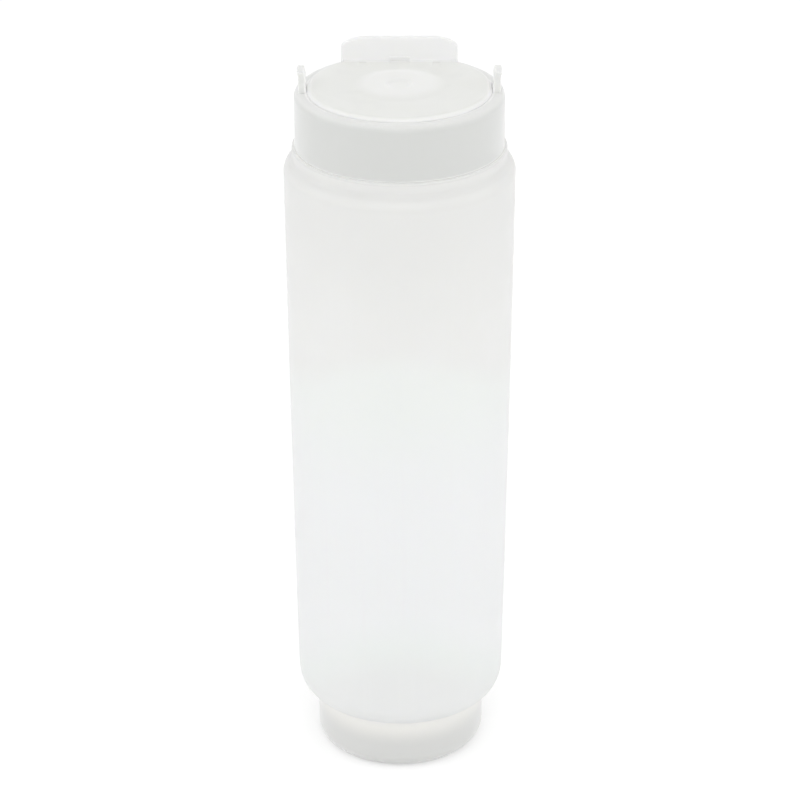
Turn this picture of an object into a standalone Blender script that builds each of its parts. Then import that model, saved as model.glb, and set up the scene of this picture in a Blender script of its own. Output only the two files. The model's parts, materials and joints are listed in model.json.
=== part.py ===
"""Two-ended condiment squeeze bottle.

A blow-moulded bottle has a screw cap at each end. The wide upper cap carries a silicone
dispensing valve under a flip lid with a thumb lever, and the narrow lower cap closes the
refill neck and is what the bottle stands on.

Metres, +Z up. The bottle's axis is Z, the front is -Y and the lid's hinge is at the back.
"""
from math import cos, pi, radians, sin

import bmesh
import bpy

# Clearances
SEAT_GAP = 0.0003  # between faces that touch on the real bottle
RUN_GAP = 0.0004  # round the lid and its hinge, which move
THREAD_SPACE = 0.0015  # radial room for the screw threads between neck and cap
OVERRUN = 0.0010  # how far a cutter or a joined shape runs past a face

# Facets and angles
SEGMENTS = 64
SMALL_SEGMENTS = 32
ROD_SEGMENTS = 24
CURVE_STEPS = 4
SHARP_ANGLE = radians(35.0)
SHOULDER_SWEEP = radians(67.0)  # share of a quarter turn kept on the upper shoulder

# Refill cap, at the bottom
REFILL_CAP_RADIUS = 0.02745
REFILL_CAP_HEIGHT = 0.0182
REFILL_CAP_WALL = 0.0017
REFILL_CAP_EDGE = 0.0054  # rounding of the standing edge
REFILL_CAP_FLOOR = 0.0016
REFILL_SEAT_HEIGHT = 0.0032  # ledge that carries the seal, above the table
REFILL_SEAT_WIDTH = 0.0040
FOOT_RECESS_RADIUS = 0.0150
FOOT_RECESS_DEPTH = 0.0006

# Seals
SEAL_THICKNESS = 0.0012
SEAL_OVERLAP = 0.0006  # how far a seal reaches inside its neck's bore

# Bottle
BODY_WALL = 0.0012
NECK_WALL = 0.0016
NECK_FILLET = 0.0008
BODY_TAPER = 0.0023  # drop in radius from the upper to the lower shoulder
WALL_HEIGHT = 0.1767  # tapered side between the shoulders
BASE_SHOULDER_HEIGHT = 0.0092
TOP_SHOULDER_HEIGHT = 0.0040
TOP_SHOULDER_STEP = 0.0026  # body radius beyond the collar
COLLAR_STEP = 0.0009  # collar radius beyond the cap's skirt
COLLAR_HEIGHT = 0.0044
COLLAR_ROOF = 0.0014

# Dispensing cap, at the top
CAP_RADIUS = 0.0329
CAP_HEIGHT = 0.0179
CAP_WALL = 0.0018
CAP_EDGE = 0.0020  # rounding of the upper edge
RIM_WIDTH = 0.0040
LID_RECESS = 0.0020  # depth of the pocket that the lid lies in
DECK_THICKNESS = 0.0018
NOZZLE_RADIUS = 0.0110
NOZZLE_WALL = 0.0014
NOZZLE_HEIGHT = 0.0015
ORIFICE_RADIUS = 0.0082
POCKET_WALL = 0.0017
SNAP_LIP = 0.0004
SNAP_LIP_HEIGHT = 0.0006

# Side ears of the dispensing cap
EAR_WIDTH = 0.0080
EAR_HEIGHT = 0.0066
EAR_THICKNESS = 0.0022
EAR_INSET = 0.0015  # outer face of an ear, in from the skirt
EAR_LEAD_IN = 0.0005  # slope of the inner face
EAR_LIP = 0.0002
EAR_LIP_HEIGHT = 0.0009
EAR_STEPS = 6

# Dispensing valve and the ring that holds it
VALVE_FLANGE_RADIUS = 0.0112
VALVE_FLANGE_THICKNESS = 0.0014
VALVE_WALL = 0.0009
VALVE_CLEARANCE = 0.0006  # between the valve's head and the orifice
VALVE_RISE = 0.0009  # head above the deck
VALVE_DISH = 0.0013  # how deep the head is dished
VALVE_ROUND = 0.0005
RETAINER_BORE = 0.0080
RETAINER_HEIGHT = 0.0028

# Flip lid
LID_PROUD = 0.0015  # lid's top above the rim
LID_PLATE = 0.0015
LID_WALL = 0.0015
LID_EDGE = 0.0012
DOME_RADIUS = 0.0135
DOME_HEIGHT = 0.0008
DOME_FLANK = 0.0034  # width of the dome's sloping side
NUB_RADIUS = 0.0043  # smooth nub in the middle of the dome
NUB_HEIGHT = 0.0010
PLUG_WALL = 0.0010
PLUG_LIFT = 0.0002  # plug's end above the lid's own lower edge
SINK_WIDTH = 0.0036
SINK_LENGTH = 0.0042
SINK_DEPTH = 0.0003
SINK_SPREAD = 0.0234  # centre to centre, across the lid
SINK_OFFSET = 0.0030  # centre, in front of the lever

# Thumb lever and hinge
LEVER_WIDTH = 0.0370
LEVER_HEIGHT = 0.0078  # above the lid's top
LEVER_THICKNESS = 0.0020
LEVER_CORNER_WIDTH = 0.0085
LEVER_CORNER_HEIGHT = 0.0036
NOTCH_WIDTH = 0.0068  # notch at the lever's foot, in the lever and in the lid's top
NOTCH_HEIGHT = 0.0013
NOTCH_DEPTH = 0.0005
NOTCH_REACH = 0.0030  # how far it runs forward over the lid
NOTCH_SINK = 0.0003
BROW = 0.0006  # ridge over the notch
BROW_LIFT = 0.0002
HINGE_INSET = 0.0021  # axis, in from the rim's inner wall
HINGE_REACH = 0.0028  # axis, behind the lever's back face
BARREL_RADIUS = 0.0016
BARREL_LENGTH = 0.0190
WEB_RISE = 0.0009  # top of the web above the hinge's axis, at the lever
TRUNNION_RADIUS = 0.0011
TRUNNION_LENGTH = 0.0027
LUG_RADIUS = 0.0024
LUG_WIDTH = 0.0038

# Sizes that follow from those above
REFILL_CAP_BORE = REFILL_CAP_RADIUS - REFILL_CAP_WALL
LOWER_NECK_RADIUS = REFILL_CAP_BORE - THREAD_SPACE
LOWER_NECK_BORE = LOWER_NECK_RADIUS - NECK_WALL
CAP_BORE = CAP_RADIUS - CAP_WALL
UPPER_NECK_RADIUS = CAP_BORE - THREAD_SPACE
UPPER_NECK_BORE = UPPER_NECK_RADIUS - NECK_WALL
COLLAR_RADIUS = CAP_RADIUS + COLLAR_STEP
BODY_TOP_RADIUS = COLLAR_RADIUS + TOP_SHOULDER_STEP
BODY_BASE_RADIUS = BODY_TOP_RADIUS - BODY_TAPER
RIM_BORE = CAP_RADIUS - RIM_WIDTH
LID_RADIUS = RIM_BORE - RUN_GAP
POCKET_RADIUS = VALVE_FLANGE_RADIUS + SEAT_GAP
NOZZLE_BORE = NOZZLE_RADIUS - NOZZLE_WALL
VALVE_RADIUS = ORIFICE_RADIUS - VALVE_CLEARANCE
PLUG_RADIUS = NOZZLE_BORE - SEAT_GAP
LUG_FACE = BARREL_LENGTH / 2 + SEAT_GAP  # inner face of a lug, from the middle

# Heights above the table
LOWER_NECK_Z = REFILL_SEAT_HEIGHT + SEAT_GAP + SEAL_THICKNESS + SEAT_GAP
SHOULDER_Z = REFILL_CAP_HEIGHT + SEAT_GAP
WALL_BASE_Z = SHOULDER_Z + BASE_SHOULDER_HEIGHT
WALL_TOP_Z = WALL_BASE_Z + WALL_HEIGHT
COLLAR_BASE_Z = WALL_TOP_Z + TOP_SHOULDER_HEIGHT
COLLAR_TOP_Z = COLLAR_BASE_Z + COLLAR_HEIGHT
CAP_Z = COLLAR_TOP_Z + SEAT_GAP
RIM_Z = CAP_Z + CAP_HEIGHT
DECK_Z = RIM_Z - LID_RECESS
CEILING_Z = DECK_Z - DECK_THICKNESS
UPPER_SEAL_Z = CEILING_Z - SEAT_GAP - SEAL_THICKNESS
UPPER_NECK_Z = UPPER_SEAL_Z - SEAT_GAP
FLANGE_Z = CEILING_Z - SEAT_GAP - VALVE_FLANGE_THICKNESS
RETAINER_Z = FLANGE_Z - SEAT_GAP - RETAINER_HEIGHT
LIP_Z = RETAINER_Z - SEAT_GAP
POCKET_Z = LIP_Z - SNAP_LIP_HEIGHT
LID_TOP_Z = RIM_Z + LID_PROUD
LID_BASE_Z = DECK_Z + SEAT_GAP
HINGE_Y = RIM_BORE - HINGE_INSET
HINGE_Z = DECK_Z + RUN_GAP + BARREL_RADIUS
LEVER_BACK_Y = HINGE_Y - HINGE_REACH
LEVER_FRONT_Y = LEVER_BACK_Y - LEVER_THICKNESS

# Colours are linear RGB
BOTTLE_COLOUR = (0.84, 0.85, 0.83, 1.0)
CAP_COLOUR = (0.80, 0.80, 0.79, 1.0)
VALVE_COLOUR = (0.78, 0.79, 0.80, 1.0)
SEAL_COLOUR = (0.86, 0.86, 0.85, 1.0)


def clear_scene():
    """Remove whatever the scene holds."""
    for item in list(bpy.data.objects):
        bpy.data.objects.remove(item, do_unlink=True)


def plastic(name, colour, roughness):
    """A plain plastic."""
    material = bpy.data.materials.new(name)
    material.use_nodes = True
    shader = material.node_tree.nodes["Principled BSDF"]
    shader.inputs["Base Color"].default_value = colour
    shader.inputs["Roughness"].default_value = roughness
    shader.inputs["Metallic"].default_value = 0.0
    return material


def arc(centre, radii, start, end, steps=CURVE_STEPS):
    """Points (radius, height) along an ellipse's arc, both ends included."""
    angles = [start + (end - start) * i / steps for i in range(steps + 1)]
    return [(centre[0] + radii[0] * cos(a), centre[1] + radii[1] * sin(a)) for a in angles]


def add_object(name, shape, location=(0.0, 0.0, 0.0)):
    """Turn a bmesh into an object whose mesh is measured from its own location."""
    bmesh.ops.translate(shape, verts=shape.verts, vec=[-value for value in location])
    bmesh.ops.recalc_face_normals(shape, faces=shape.faces)
    mesh = bpy.data.meshes.new(name)
    shape.to_mesh(mesh)
    shape.free()
    item = bpy.data.objects.new(name, mesh)
    item.location = location
    bpy.context.scene.collection.objects.link(item)
    return item


def spun(outline, steps=SEGMENTS, start=0.0, sweep=2 * pi):
    """Spin an outline of (radius, height) points round Z.

    An outline that starts and ends on the axis stays open, any other is closed.
    """
    shape = bmesh.new()
    verts = [shape.verts.new((r * cos(start), r * sin(start), z)) for r, z in outline]
    edges = [shape.edges.new(pair) for pair in zip(verts, verts[1:])]
    on_axis = outline[0][0] == 0.0 and outline[-1][0] == 0.0
    if not on_axis:
        edges.append(shape.edges.new((verts[-1], verts[0])))
    full_turn = sweep == 2 * pi
    spin = bmesh.ops.spin(
        shape, geom=verts + edges, cent=(0, 0, 0), axis=(0, 0, 1), angle=sweep,
        steps=steps, use_merge=full_turn,
    )
    if not full_turn:
        shape.faces.new(verts)
        last = [item for item in spin["geom_last"] if isinstance(item, bmesh.types.BMVert)]
        shape.faces.new(last)
    if on_axis:
        poles = [vert for vert in shape.verts if vert.co.xy.length < SEAT_GAP / SEGMENTS]
        bmesh.ops.remove_doubles(shape, verts=poles, dist=SEAT_GAP / SEGMENTS)
    return shape


def block(low, high):
    """A box between two opposite corners."""
    shape = bmesh.new()
    bmesh.ops.create_cube(shape, size=1.0)
    size = [b - a for a, b in zip(low, high)]
    middle = [(a + b) / 2 for a, b in zip(low, high)]
    bmesh.ops.scale(shape, verts=shape.verts, vec=size)
    bmesh.ops.translate(shape, verts=shape.verts, vec=middle)
    return shape


def extruded(outline, start, length):
    """Extrude an outline, given as points in space, by a vector of one axis and a length."""
    shape = bmesh.new()
    face = shape.faces.new([shape.verts.new(point) for point in outline])
    made = bmesh.ops.extrude_face_region(shape, geom=[face])["geom"]
    verts = [item for item in made if isinstance(item, bmesh.types.BMVert)]
    bmesh.ops.translate(shape, verts=verts, vec=[length * part for part in start])
    return shape


def rod(radius, low_x, high_x, y, z, steps=ROD_SEGMENTS):
    """A round rod that lies along X."""
    points = arc((y, z), (radius, radius), 0.0, 2 * pi, steps)[:-1]
    outline = [(low_x, point_y, point_z) for point_y, point_z in points]
    return extruded(outline, (1, 0, 0), high_x - low_x)


def combine(piece, name, shape, operation):
    """Join a shape to a piece, or cut it away, with a Boolean modifier."""
    helper = add_object(name, shape)
    helper.hide_render = True
    helper.display_type = "WIRE"
    modifier = piece.modifiers.new(name, "BOOLEAN")
    modifier.operation = operation
    modifier.solver = "EXACT"
    modifier.object = helper
    return helper


def finish(piece, material):
    """Give a piece its material and smooth shading."""
    piece.data.materials.append(material)
    piece.data.shade_smooth()
    piece.data.set_sharp_from_angle(angle=SHARP_ANGLE)


def place_under(child, parent):
    """Parent a piece to the one that carries it, and leave it where it is."""
    child.parent = parent
    child.location = child.location - parent.location


def top_shoulder(inset):
    """Arc of the upper shoulder, from the side up to the collar, set in by a wall."""
    radius = TOP_SHOULDER_STEP / (1 - cos(SHOULDER_SWEEP))
    height = TOP_SHOULDER_HEIGHT / sin(SHOULDER_SWEEP)
    centre = (BODY_TOP_RADIUS - radius, WALL_TOP_Z)
    return arc(centre, (radius - inset, height - inset), 0.0, SHOULDER_SWEEP)


def base_shoulder(inset):
    """Arc of the lower shoulder, from the side down to the refill neck, set in by a wall."""
    centre = (LOWER_NECK_RADIUS + NECK_FILLET, WALL_BASE_Z)
    radii = (BODY_BASE_RADIUS - centre[0] - inset, BASE_SHOULDER_HEIGHT - inset)
    return arc(centre, radii, 0.0, -pi / 2)


def make_bottle(material):
    """Bottle with an open neck at each end and the same wall all round."""
    outer = [(UPPER_NECK_RADIUS, UPPER_NECK_Z), (UPPER_NECK_RADIUS, COLLAR_TOP_Z)]
    outer += [(COLLAR_RADIUS, COLLAR_TOP_Z)]
    outer += top_shoulder(0.0)[::-1]
    outer += base_shoulder(0.0)
    outer += [(LOWER_NECK_RADIUS, SHOULDER_Z), (LOWER_NECK_RADIUS, LOWER_NECK_Z)]
    inner = [(LOWER_NECK_BORE, LOWER_NECK_Z), (LOWER_NECK_BORE, SHOULDER_Z + BODY_WALL)]
    inner += base_shoulder(BODY_WALL)[::-1]
    inner += top_shoulder(BODY_WALL)
    collar_bore = COLLAR_RADIUS - BODY_WALL
    roof_z = COLLAR_TOP_Z - COLLAR_ROOF
    inner += [(collar_bore, COLLAR_BASE_Z), (collar_bore, roof_z)]
    inner += [(UPPER_NECK_BORE, roof_z), (UPPER_NECK_BORE, UPPER_NECK_Z)]
    bottle = add_object("bottle_body", spun(outer + inner))
    finish(bottle, material)
    return bottle


def make_ring(name, inner, outer, base_z, height, material, steps=SEGMENTS):
    """A flat ring, placed by its lower face."""
    top_z = base_z + height
    outline = [(inner, base_z), (outer, base_z), (outer, top_z), (inner, top_z)]
    ring = add_object(name, spun(outline, steps), (0.0, 0.0, base_z))
    finish(ring, material)
    return ring


def make_refill_cap(material):
    """Screw cap with a rounded foot, a shallow recess under it and a ledge for the seal."""
    edge_centre = (REFILL_CAP_RADIUS - REFILL_CAP_EDGE, REFILL_CAP_EDGE)
    edge_radii = (REFILL_CAP_EDGE, REFILL_CAP_EDGE)
    floor_z = FOOT_RECESS_DEPTH + REFILL_CAP_FLOOR
    ledge = REFILL_CAP_BORE - REFILL_SEAT_WIDTH
    outline = [(0.0, FOOT_RECESS_DEPTH), (FOOT_RECESS_RADIUS - FOOT_RECESS_DEPTH, FOOT_RECESS_DEPTH)]
    outline += [(FOOT_RECESS_RADIUS, 0.0)]
    outline += arc(edge_centre, edge_radii, -pi / 2, 0.0)
    outline += [(REFILL_CAP_RADIUS, REFILL_CAP_HEIGHT), (REFILL_CAP_BORE, REFILL_CAP_HEIGHT)]
    outline += [(REFILL_CAP_BORE, REFILL_SEAT_HEIGHT), (ledge, REFILL_SEAT_HEIGHT)]
    outline += [(ledge, floor_z), (0.0, floor_z)]
    cap = add_object("refill_cap", spun(outline))
    finish(cap, material)
    return cap


def cap_outline():
    """Section of the dispensing cap: skirt, rim, deck, nozzle and valve pocket."""
    edge_centre = (CAP_RADIUS - CAP_EDGE, RIM_Z - CAP_EDGE)
    nozzle_top_z = DECK_Z + NOZZLE_HEIGHT
    outline = [(CAP_BORE, CAP_Z), (CAP_RADIUS, CAP_Z)]
    outline += arc(edge_centre, (CAP_EDGE, CAP_EDGE), 0.0, pi / 2)
    outline += [(RIM_BORE, RIM_Z), (RIM_BORE, DECK_Z)]
    outline += [(NOZZLE_RADIUS, DECK_Z), (NOZZLE_RADIUS, nozzle_top_z)]
    outline += [(NOZZLE_BORE, nozzle_top_z), (NOZZLE_BORE, DECK_Z)]
    outline += [(ORIFICE_RADIUS, DECK_Z), (ORIFICE_RADIUS, CEILING_Z)]
    outline += [(POCKET_RADIUS, CEILING_Z), (POCKET_RADIUS, LIP_Z)]
    outline += [(POCKET_RADIUS - SNAP_LIP, LIP_Z), (POCKET_RADIUS - SNAP_LIP, POCKET_Z)]
    outline += [(POCKET_RADIUS + POCKET_WALL, POCKET_Z), (POCKET_RADIUS + POCKET_WALL, CEILING_Z)]
    outline += [(CAP_BORE, CEILING_Z)]
    return outline


def ear_shape(side):
    """An upright ear on the rim, at +X or -X, with a sloped inner face and a small lip."""
    outer = CAP_RADIUS - EAR_INSET
    inner = outer - EAR_THICKNESS
    root_z = RIM_Z - OVERRUN
    top_z = RIM_Z + EAR_HEIGHT
    outline = [(inner, root_z), (outer, root_z), (outer, top_z - EAR_LIP_HEIGHT)]
    outline += [(outer + EAR_LIP, top_z - EAR_LIP_HEIGHT + EAR_LIP), (outer + EAR_LIP, top_z)]
    outline += [(inner + EAR_LEAD_IN, top_z)]
    half_angle = EAR_WIDTH / 2 / outer
    middle = 0.0 if side > 0 else pi
    return spun(outline, EAR_STEPS, middle - half_angle, 2 * half_angle)


def lug_shape(side):
    """A hinge lug: a round-topped upright that stands in the lid's pocket."""
    face_x = side * LUG_FACE
    root_z = DECK_Z - OVERRUN
    top = arc((HINGE_Y, HINGE_Z), (LUG_RADIUS, LUG_RADIUS), 0.0, pi, ROD_SEGMENTS // 2)
    points = [(HINGE_Y + LUG_RADIUS, root_z)] + top + [(HINGE_Y - LUG_RADIUS, root_z)]
    outline = [(face_x, y, z) for y, z in points]
    return extruded(outline, (side, 0, 0), LUG_WIDTH)


def make_dispensing_cap(material):
    """Wide screw cap that carries the valve, the ears and the lid's hinge."""
    cap = add_object("dispensing_cap", spun(cap_outline()), (0.0, 0.0, CAP_Z))
    bay_back = HINGE_Y + BARREL_RADIUS + RUN_GAP
    bay_low = (-LUG_FACE, LEVER_FRONT_Y, DECK_Z)
    bay_high = (LUG_FACE, bay_back, RIM_Z + OVERRUN)
    combine(cap, "hinge_bay", block(bay_low, bay_high), "DIFFERENCE")
    for side, word in ((-1, "left"), (1, "right")):
        combine(cap, word + "_ear", ear_shape(side), "UNION")
        combine(cap, word + "_lug", lug_shape(side), "UNION")
        bearing_ends = sorted((0.0, side * (LUG_FACE + TRUNNION_LENGTH)))
        bearing = rod(TRUNNION_RADIUS + SEAT_GAP, *bearing_ends, HINGE_Y, HINGE_Z)
        combine(cap, word + "_bearing", bearing, "DIFFERENCE")
    finish(cap, material)
    return cap


def make_valve(material):
    """Silicone valve: a flange, a short wall and a dished head, which is slit on the real one."""
    head_z = DECK_Z + VALVE_RISE
    shelf = VALVE_RADIUS - VALVE_ROUND
    inner = VALVE_RADIUS - VALVE_WALL
    dish = arc((0.0, head_z), (shelf, VALVE_DISH), -pi / 2, 0.0)
    under = arc((0.0, head_z - VALVE_WALL), (inner, VALVE_DISH), 0.0, -pi / 2)
    outline = [(0.0, dish[0][1])] + dish[1:]
    outline += [(VALVE_RADIUS, head_z - VALVE_ROUND), (VALVE_RADIUS, FLANGE_Z + VALVE_FLANGE_THICKNESS)]
    outline += [(VALVE_FLANGE_RADIUS, FLANGE_Z + VALVE_FLANGE_THICKNESS)]
    outline += [(VALVE_FLANGE_RADIUS, FLANGE_Z), (inner, FLANGE_Z)]
    outline += under[:-1] + [(0.0, under[-1][1])]
    valve = add_object("dispensing_valve", spun(outline, SMALL_SEGMENTS), (0.0, 0.0, FLANGE_Z))
    finish(valve, material)
    return valve


def dome_points(inner, base_z):
    """Points up the low dome's side and across its top to an inner radius, over a base height."""
    climbs = [i / CURVE_STEPS for i in range(CURVE_STEPS)]
    sides = [(DOME_RADIUS - DOME_FLANK * climb, climb) for climb in climbs]
    points = [(radius, climb) for radius, climb in sides if radius > inner]
    points.append((inner, min(1.0, (DOME_RADIUS - inner) / DOME_FLANK)))
    if inner < DOME_RADIUS - DOME_FLANK:
        points.insert(-1, (DOME_RADIUS - DOME_FLANK, 1.0))
    return [(radius, base_z + DOME_HEIGHT * (1 - cos(pi * climb)) / 2) for radius, climb in points]


def lid_outline():
    """Outer surface of the lid as a solid disc, from the axis out and back under it."""
    edge_centre = (LID_RADIUS - LID_EDGE, LID_TOP_Z - LID_EDGE)
    dome_z = LID_TOP_Z + DOME_HEIGHT
    outline = [(0.0, LID_BASE_Z), (LID_RADIUS, LID_BASE_Z)]
    outline += arc(edge_centre, (LID_EDGE, LID_EDGE), 0.0, pi / 2)
    outline += dome_points(NUB_RADIUS, LID_TOP_Z)
    climbs = [i / CURVE_STEPS for i in range(1, CURVE_STEPS + 1)]
    outline += [
        (NUB_RADIUS * (1 - climb), dome_z + NUB_HEIGHT * (1 - cos(pi * climb)) / 2)
        for climb in climbs
    ]
    return outline


def lid_hollow():
    """Space under the lid, round its plug and cut short by a straight wall at the lever."""
    under_z = LID_TOP_Z - LID_PLATE
    low_z = LID_BASE_Z - OVERRUN
    plug_z = LID_BASE_Z + PLUG_LIFT
    bore = LID_RADIUS - LID_WALL
    plug_bore = PLUG_RADIUS - PLUG_WALL
    outline = [(0.0, low_z), (bore, low_z), (bore, under_z)]
    outline += dome_points(PLUG_RADIUS, under_z)
    outline += [(PLUG_RADIUS, plug_z), (plug_bore, plug_z)]
    outline += [(plug_bore, under_z + DOME_HEIGHT), (0.0, under_z + DOME_HEIGHT)]
    shape = spun(outline)
    wall_y = LEVER_BACK_Y - LID_WALL
    geometry = shape.verts[:] + shape.edges[:] + shape.faces[:]
    cut = bmesh.ops.bisect_plane(
        shape, geom=geometry, plane_co=(0, wall_y, 0), plane_no=(0, 1, 0), clear_outer=True,
    )
    rim = [item for item in cut["geom_cut"] if isinstance(item, bmesh.types.BMEdge)]
    bmesh.ops.contextual_create(shape, geom=rim)
    return shape


def lever_shape():
    """Flat thumb lever with wide rounded corners, over-long at the back, where it is trimmed."""
    half = LEVER_WIDTH / 2
    foot_z = RIM_Z + SEAT_GAP
    top_z = LID_TOP_Z + LEVER_HEIGHT
    centre = (half - LEVER_CORNER_WIDTH, top_z - LEVER_CORNER_HEIGHT)
    corner = arc(centre, (LEVER_CORNER_WIDTH, LEVER_CORNER_HEIGHT), 0.0, pi / 2)
    right = [(half, foot_z)] + corner
    left = [(-x, z) for x, z in right[::-1]]
    outline = [(x, LEVER_FRONT_Y, z) for x, z in right + left]
    return extruded(outline, (0, 1, 0), LEVER_THICKNESS + OVERRUN)


def barrel_shape():
    """Hinge barrel, with the web that ties it to the lid's back wall."""
    half = BARREL_LENGTH / 2
    web_y = LEVER_BACK_Y - LID_WALL / 2
    radii = (BARREL_RADIUS, BARREL_RADIUS)
    round_end = arc((HINGE_Y, HINGE_Z), radii, -pi / 2, pi / 2, ROD_SEGMENTS // 2)
    points = [(web_y, HINGE_Z - BARREL_RADIUS)] + round_end + [(web_y, HINGE_Z + WEB_RISE)]
    outline = [(-half, y, z) for y, z in points]
    return extruded(outline, (1, 0, 0), BARREL_LENGTH)


def make_lid(material):
    """Flip lid with its dome, plug, thumb lever and hinge barrel, on the hinge's axis."""
    hinge = (0.0, HINGE_Y, HINGE_Z)
    lid = add_object("flip_lid", spun(lid_outline()), hinge)
    combine(lid, "lever", lever_shape(), "UNION")
    reach = LID_RADIUS + OVERRUN
    back_low = (-reach, LEVER_BACK_Y, LID_BASE_Z - OVERRUN)
    back_high = (reach, reach, LID_TOP_Z + LEVER_HEIGHT + OVERRUN)
    combine(lid, "lid_back", block(back_low, back_high), "DIFFERENCE")
    combine(lid, "lid_hollow", lid_hollow(), "DIFFERENCE")
    combine(lid, "barrel", barrel_shape(), "UNION")
    pin_end = BARREL_LENGTH / 2 + TRUNNION_LENGTH
    combine(lid, "trunnions", rod(TRUNNION_RADIUS, -pin_end, pin_end, HINGE_Y, HINGE_Z), "UNION")
    notch_top_z = LID_TOP_Z + NOTCH_HEIGHT
    notch_low = (-NOTCH_WIDTH / 2, LEVER_FRONT_Y - NOTCH_REACH, LID_TOP_Z - NOTCH_SINK)
    notch_high = (NOTCH_WIDTH / 2, LEVER_FRONT_Y + NOTCH_DEPTH, notch_top_z)
    combine(lid, "lever_notch", block(notch_low, notch_high), "DIFFERENCE")
    brow_z = notch_top_z + BROW_LIFT
    brow_low = (-NOTCH_WIDTH / 2, LEVER_FRONT_Y - BROW, brow_z)
    brow_high = (NOTCH_WIDTH / 2, LEVER_FRONT_Y + BROW, brow_z + BROW)
    combine(lid, "lever_brow", block(brow_low, brow_high), "UNION")
    sink_y = LEVER_FRONT_Y - SINK_OFFSET
    for side, word in ((-1, "left"), (1, "right")):
        sink_x = side * SINK_SPREAD / 2
        sink_low = (sink_x - SINK_WIDTH / 2, sink_y - SINK_LENGTH / 2, LID_TOP_Z - SINK_DEPTH)
        sink_high = (sink_x + SINK_WIDTH / 2, sink_y + SINK_LENGTH / 2, LID_TOP_Z + OVERRUN)
        combine(lid, word + "_sink", block(sink_low, sink_high), "DIFFERENCE")
    finish(lid, material)
    return lid


def main():
    clear_scene()
    make_bottle(plastic("bottle_polyethylene", BOTTLE_COLOUR, 0.42))
    cap = make_dispensing_cap(plastic("cap_polypropylene", CAP_COLOUR, 0.38))
    lid = make_lid(plastic("lid_polypropylene", CAP_COLOUR, 0.38))
    valve = make_valve(plastic("valve_silicone", VALVE_COLOUR, 0.55))
    retainer = make_ring(
        "valve_retainer", RETAINER_BORE, VALVE_FLANGE_RADIUS, RETAINER_Z, RETAINER_HEIGHT,
        plastic("retainer_polypropylene", CAP_COLOUR, 0.38), SMALL_SEGMENTS,
    )
    upper_seal = make_ring(
        "dispensing_cap_seal", UPPER_NECK_BORE - SEAL_OVERLAP, CAP_BORE - SEAT_GAP,
        UPPER_SEAL_Z, SEAL_THICKNESS, plastic("upper_seal_foam", SEAL_COLOUR, 0.7),
    )
    refill_cap = make_refill_cap(plastic("refill_cap_polypropylene", CAP_COLOUR, 0.38))
    lower_seal = make_ring(
        "refill_cap_seal", LOWER_NECK_BORE - SEAL_OVERLAP, REFILL_CAP_BORE - SEAT_GAP,
        REFILL_SEAT_HEIGHT + SEAT_GAP, SEAL_THICKNESS, plastic("lower_seal_foam", SEAL_COLOUR, 0.7),
    )
    for piece in (lid, valve, retainer, upper_seal):
        place_under(piece, cap)
    place_under(lower_seal, refill_cap)


if __name__ == "__main__":
    main()
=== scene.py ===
"""Builds a two-ended condiment squeeze bottle and its studio stage.

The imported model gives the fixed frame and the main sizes. Each piece here stands for one of its
nodes, with finer edges, screw threads and plastic finishes. Metres, +Z up, the front is -Y.
"""
import json
from math import atan2, cos, hypot, pi, radians, sin, tau

import bmesh
import bpy
from mathutils import Matrix, Vector


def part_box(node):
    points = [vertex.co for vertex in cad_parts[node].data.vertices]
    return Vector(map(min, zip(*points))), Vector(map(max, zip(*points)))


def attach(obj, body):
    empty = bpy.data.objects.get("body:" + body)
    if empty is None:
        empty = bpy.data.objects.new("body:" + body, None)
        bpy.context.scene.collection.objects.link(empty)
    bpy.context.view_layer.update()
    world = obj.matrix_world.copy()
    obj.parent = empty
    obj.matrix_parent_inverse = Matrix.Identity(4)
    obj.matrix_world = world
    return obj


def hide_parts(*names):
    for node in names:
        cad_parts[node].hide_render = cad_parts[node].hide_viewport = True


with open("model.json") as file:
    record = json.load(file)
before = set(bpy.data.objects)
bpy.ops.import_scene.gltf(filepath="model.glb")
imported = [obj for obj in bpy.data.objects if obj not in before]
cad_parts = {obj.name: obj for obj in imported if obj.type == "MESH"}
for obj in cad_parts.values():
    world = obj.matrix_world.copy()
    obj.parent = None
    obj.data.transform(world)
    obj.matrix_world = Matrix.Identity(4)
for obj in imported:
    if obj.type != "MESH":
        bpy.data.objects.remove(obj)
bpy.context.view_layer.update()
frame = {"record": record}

bl_info = {
    "name": "Condiment squeeze bottle",
    "version": (1, 0, 0),
    "blender": (4, 5, 0),
    "location": "View3D > Sidebar > Squeeze bottle",
    "description": "Builds a two-ended squeeze bottle with a hinged lid over its dispensing valve",
    "category": "Add Mesh",
}

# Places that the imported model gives
BOTTLE_LOW, BOTTLE_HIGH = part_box("bottle_body")
CAP_LOW, CAP_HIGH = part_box("dispensing_cap")
LID_LOW, LID_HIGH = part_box("flip_lid")
VALVE_LOW, VALVE_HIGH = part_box("dispensing_valve")
RETAINER_LOW, RETAINER_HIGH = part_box("valve_retainer")
UPPER_SEAL_LOW, UPPER_SEAL_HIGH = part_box("dispensing_cap_seal")
REFILL_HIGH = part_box("refill_cap")[1]
LOWER_SEAL_LOW, LOWER_SEAL_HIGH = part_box("refill_cap_seal")
HINGE = next(
    Vector(joint["pos_m"]) for joint in frame["record"]["behaviour"]["joints"]
    if joint["name"] == "lid_hinge"
)

SEAT_GAP = 0.00003  # between faces that touch on the real bottle
RUN_GAP = 0.0004  # round the lid's hinge
OVERRUN = 0.0010  # how far a cutter or a joined shape runs past a face
COLLAR_TOP = CAP_LOW.z - SEAT_GAP
SHOULDER_LOW = REFILL_HIGH.z + SEAT_GAP

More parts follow.
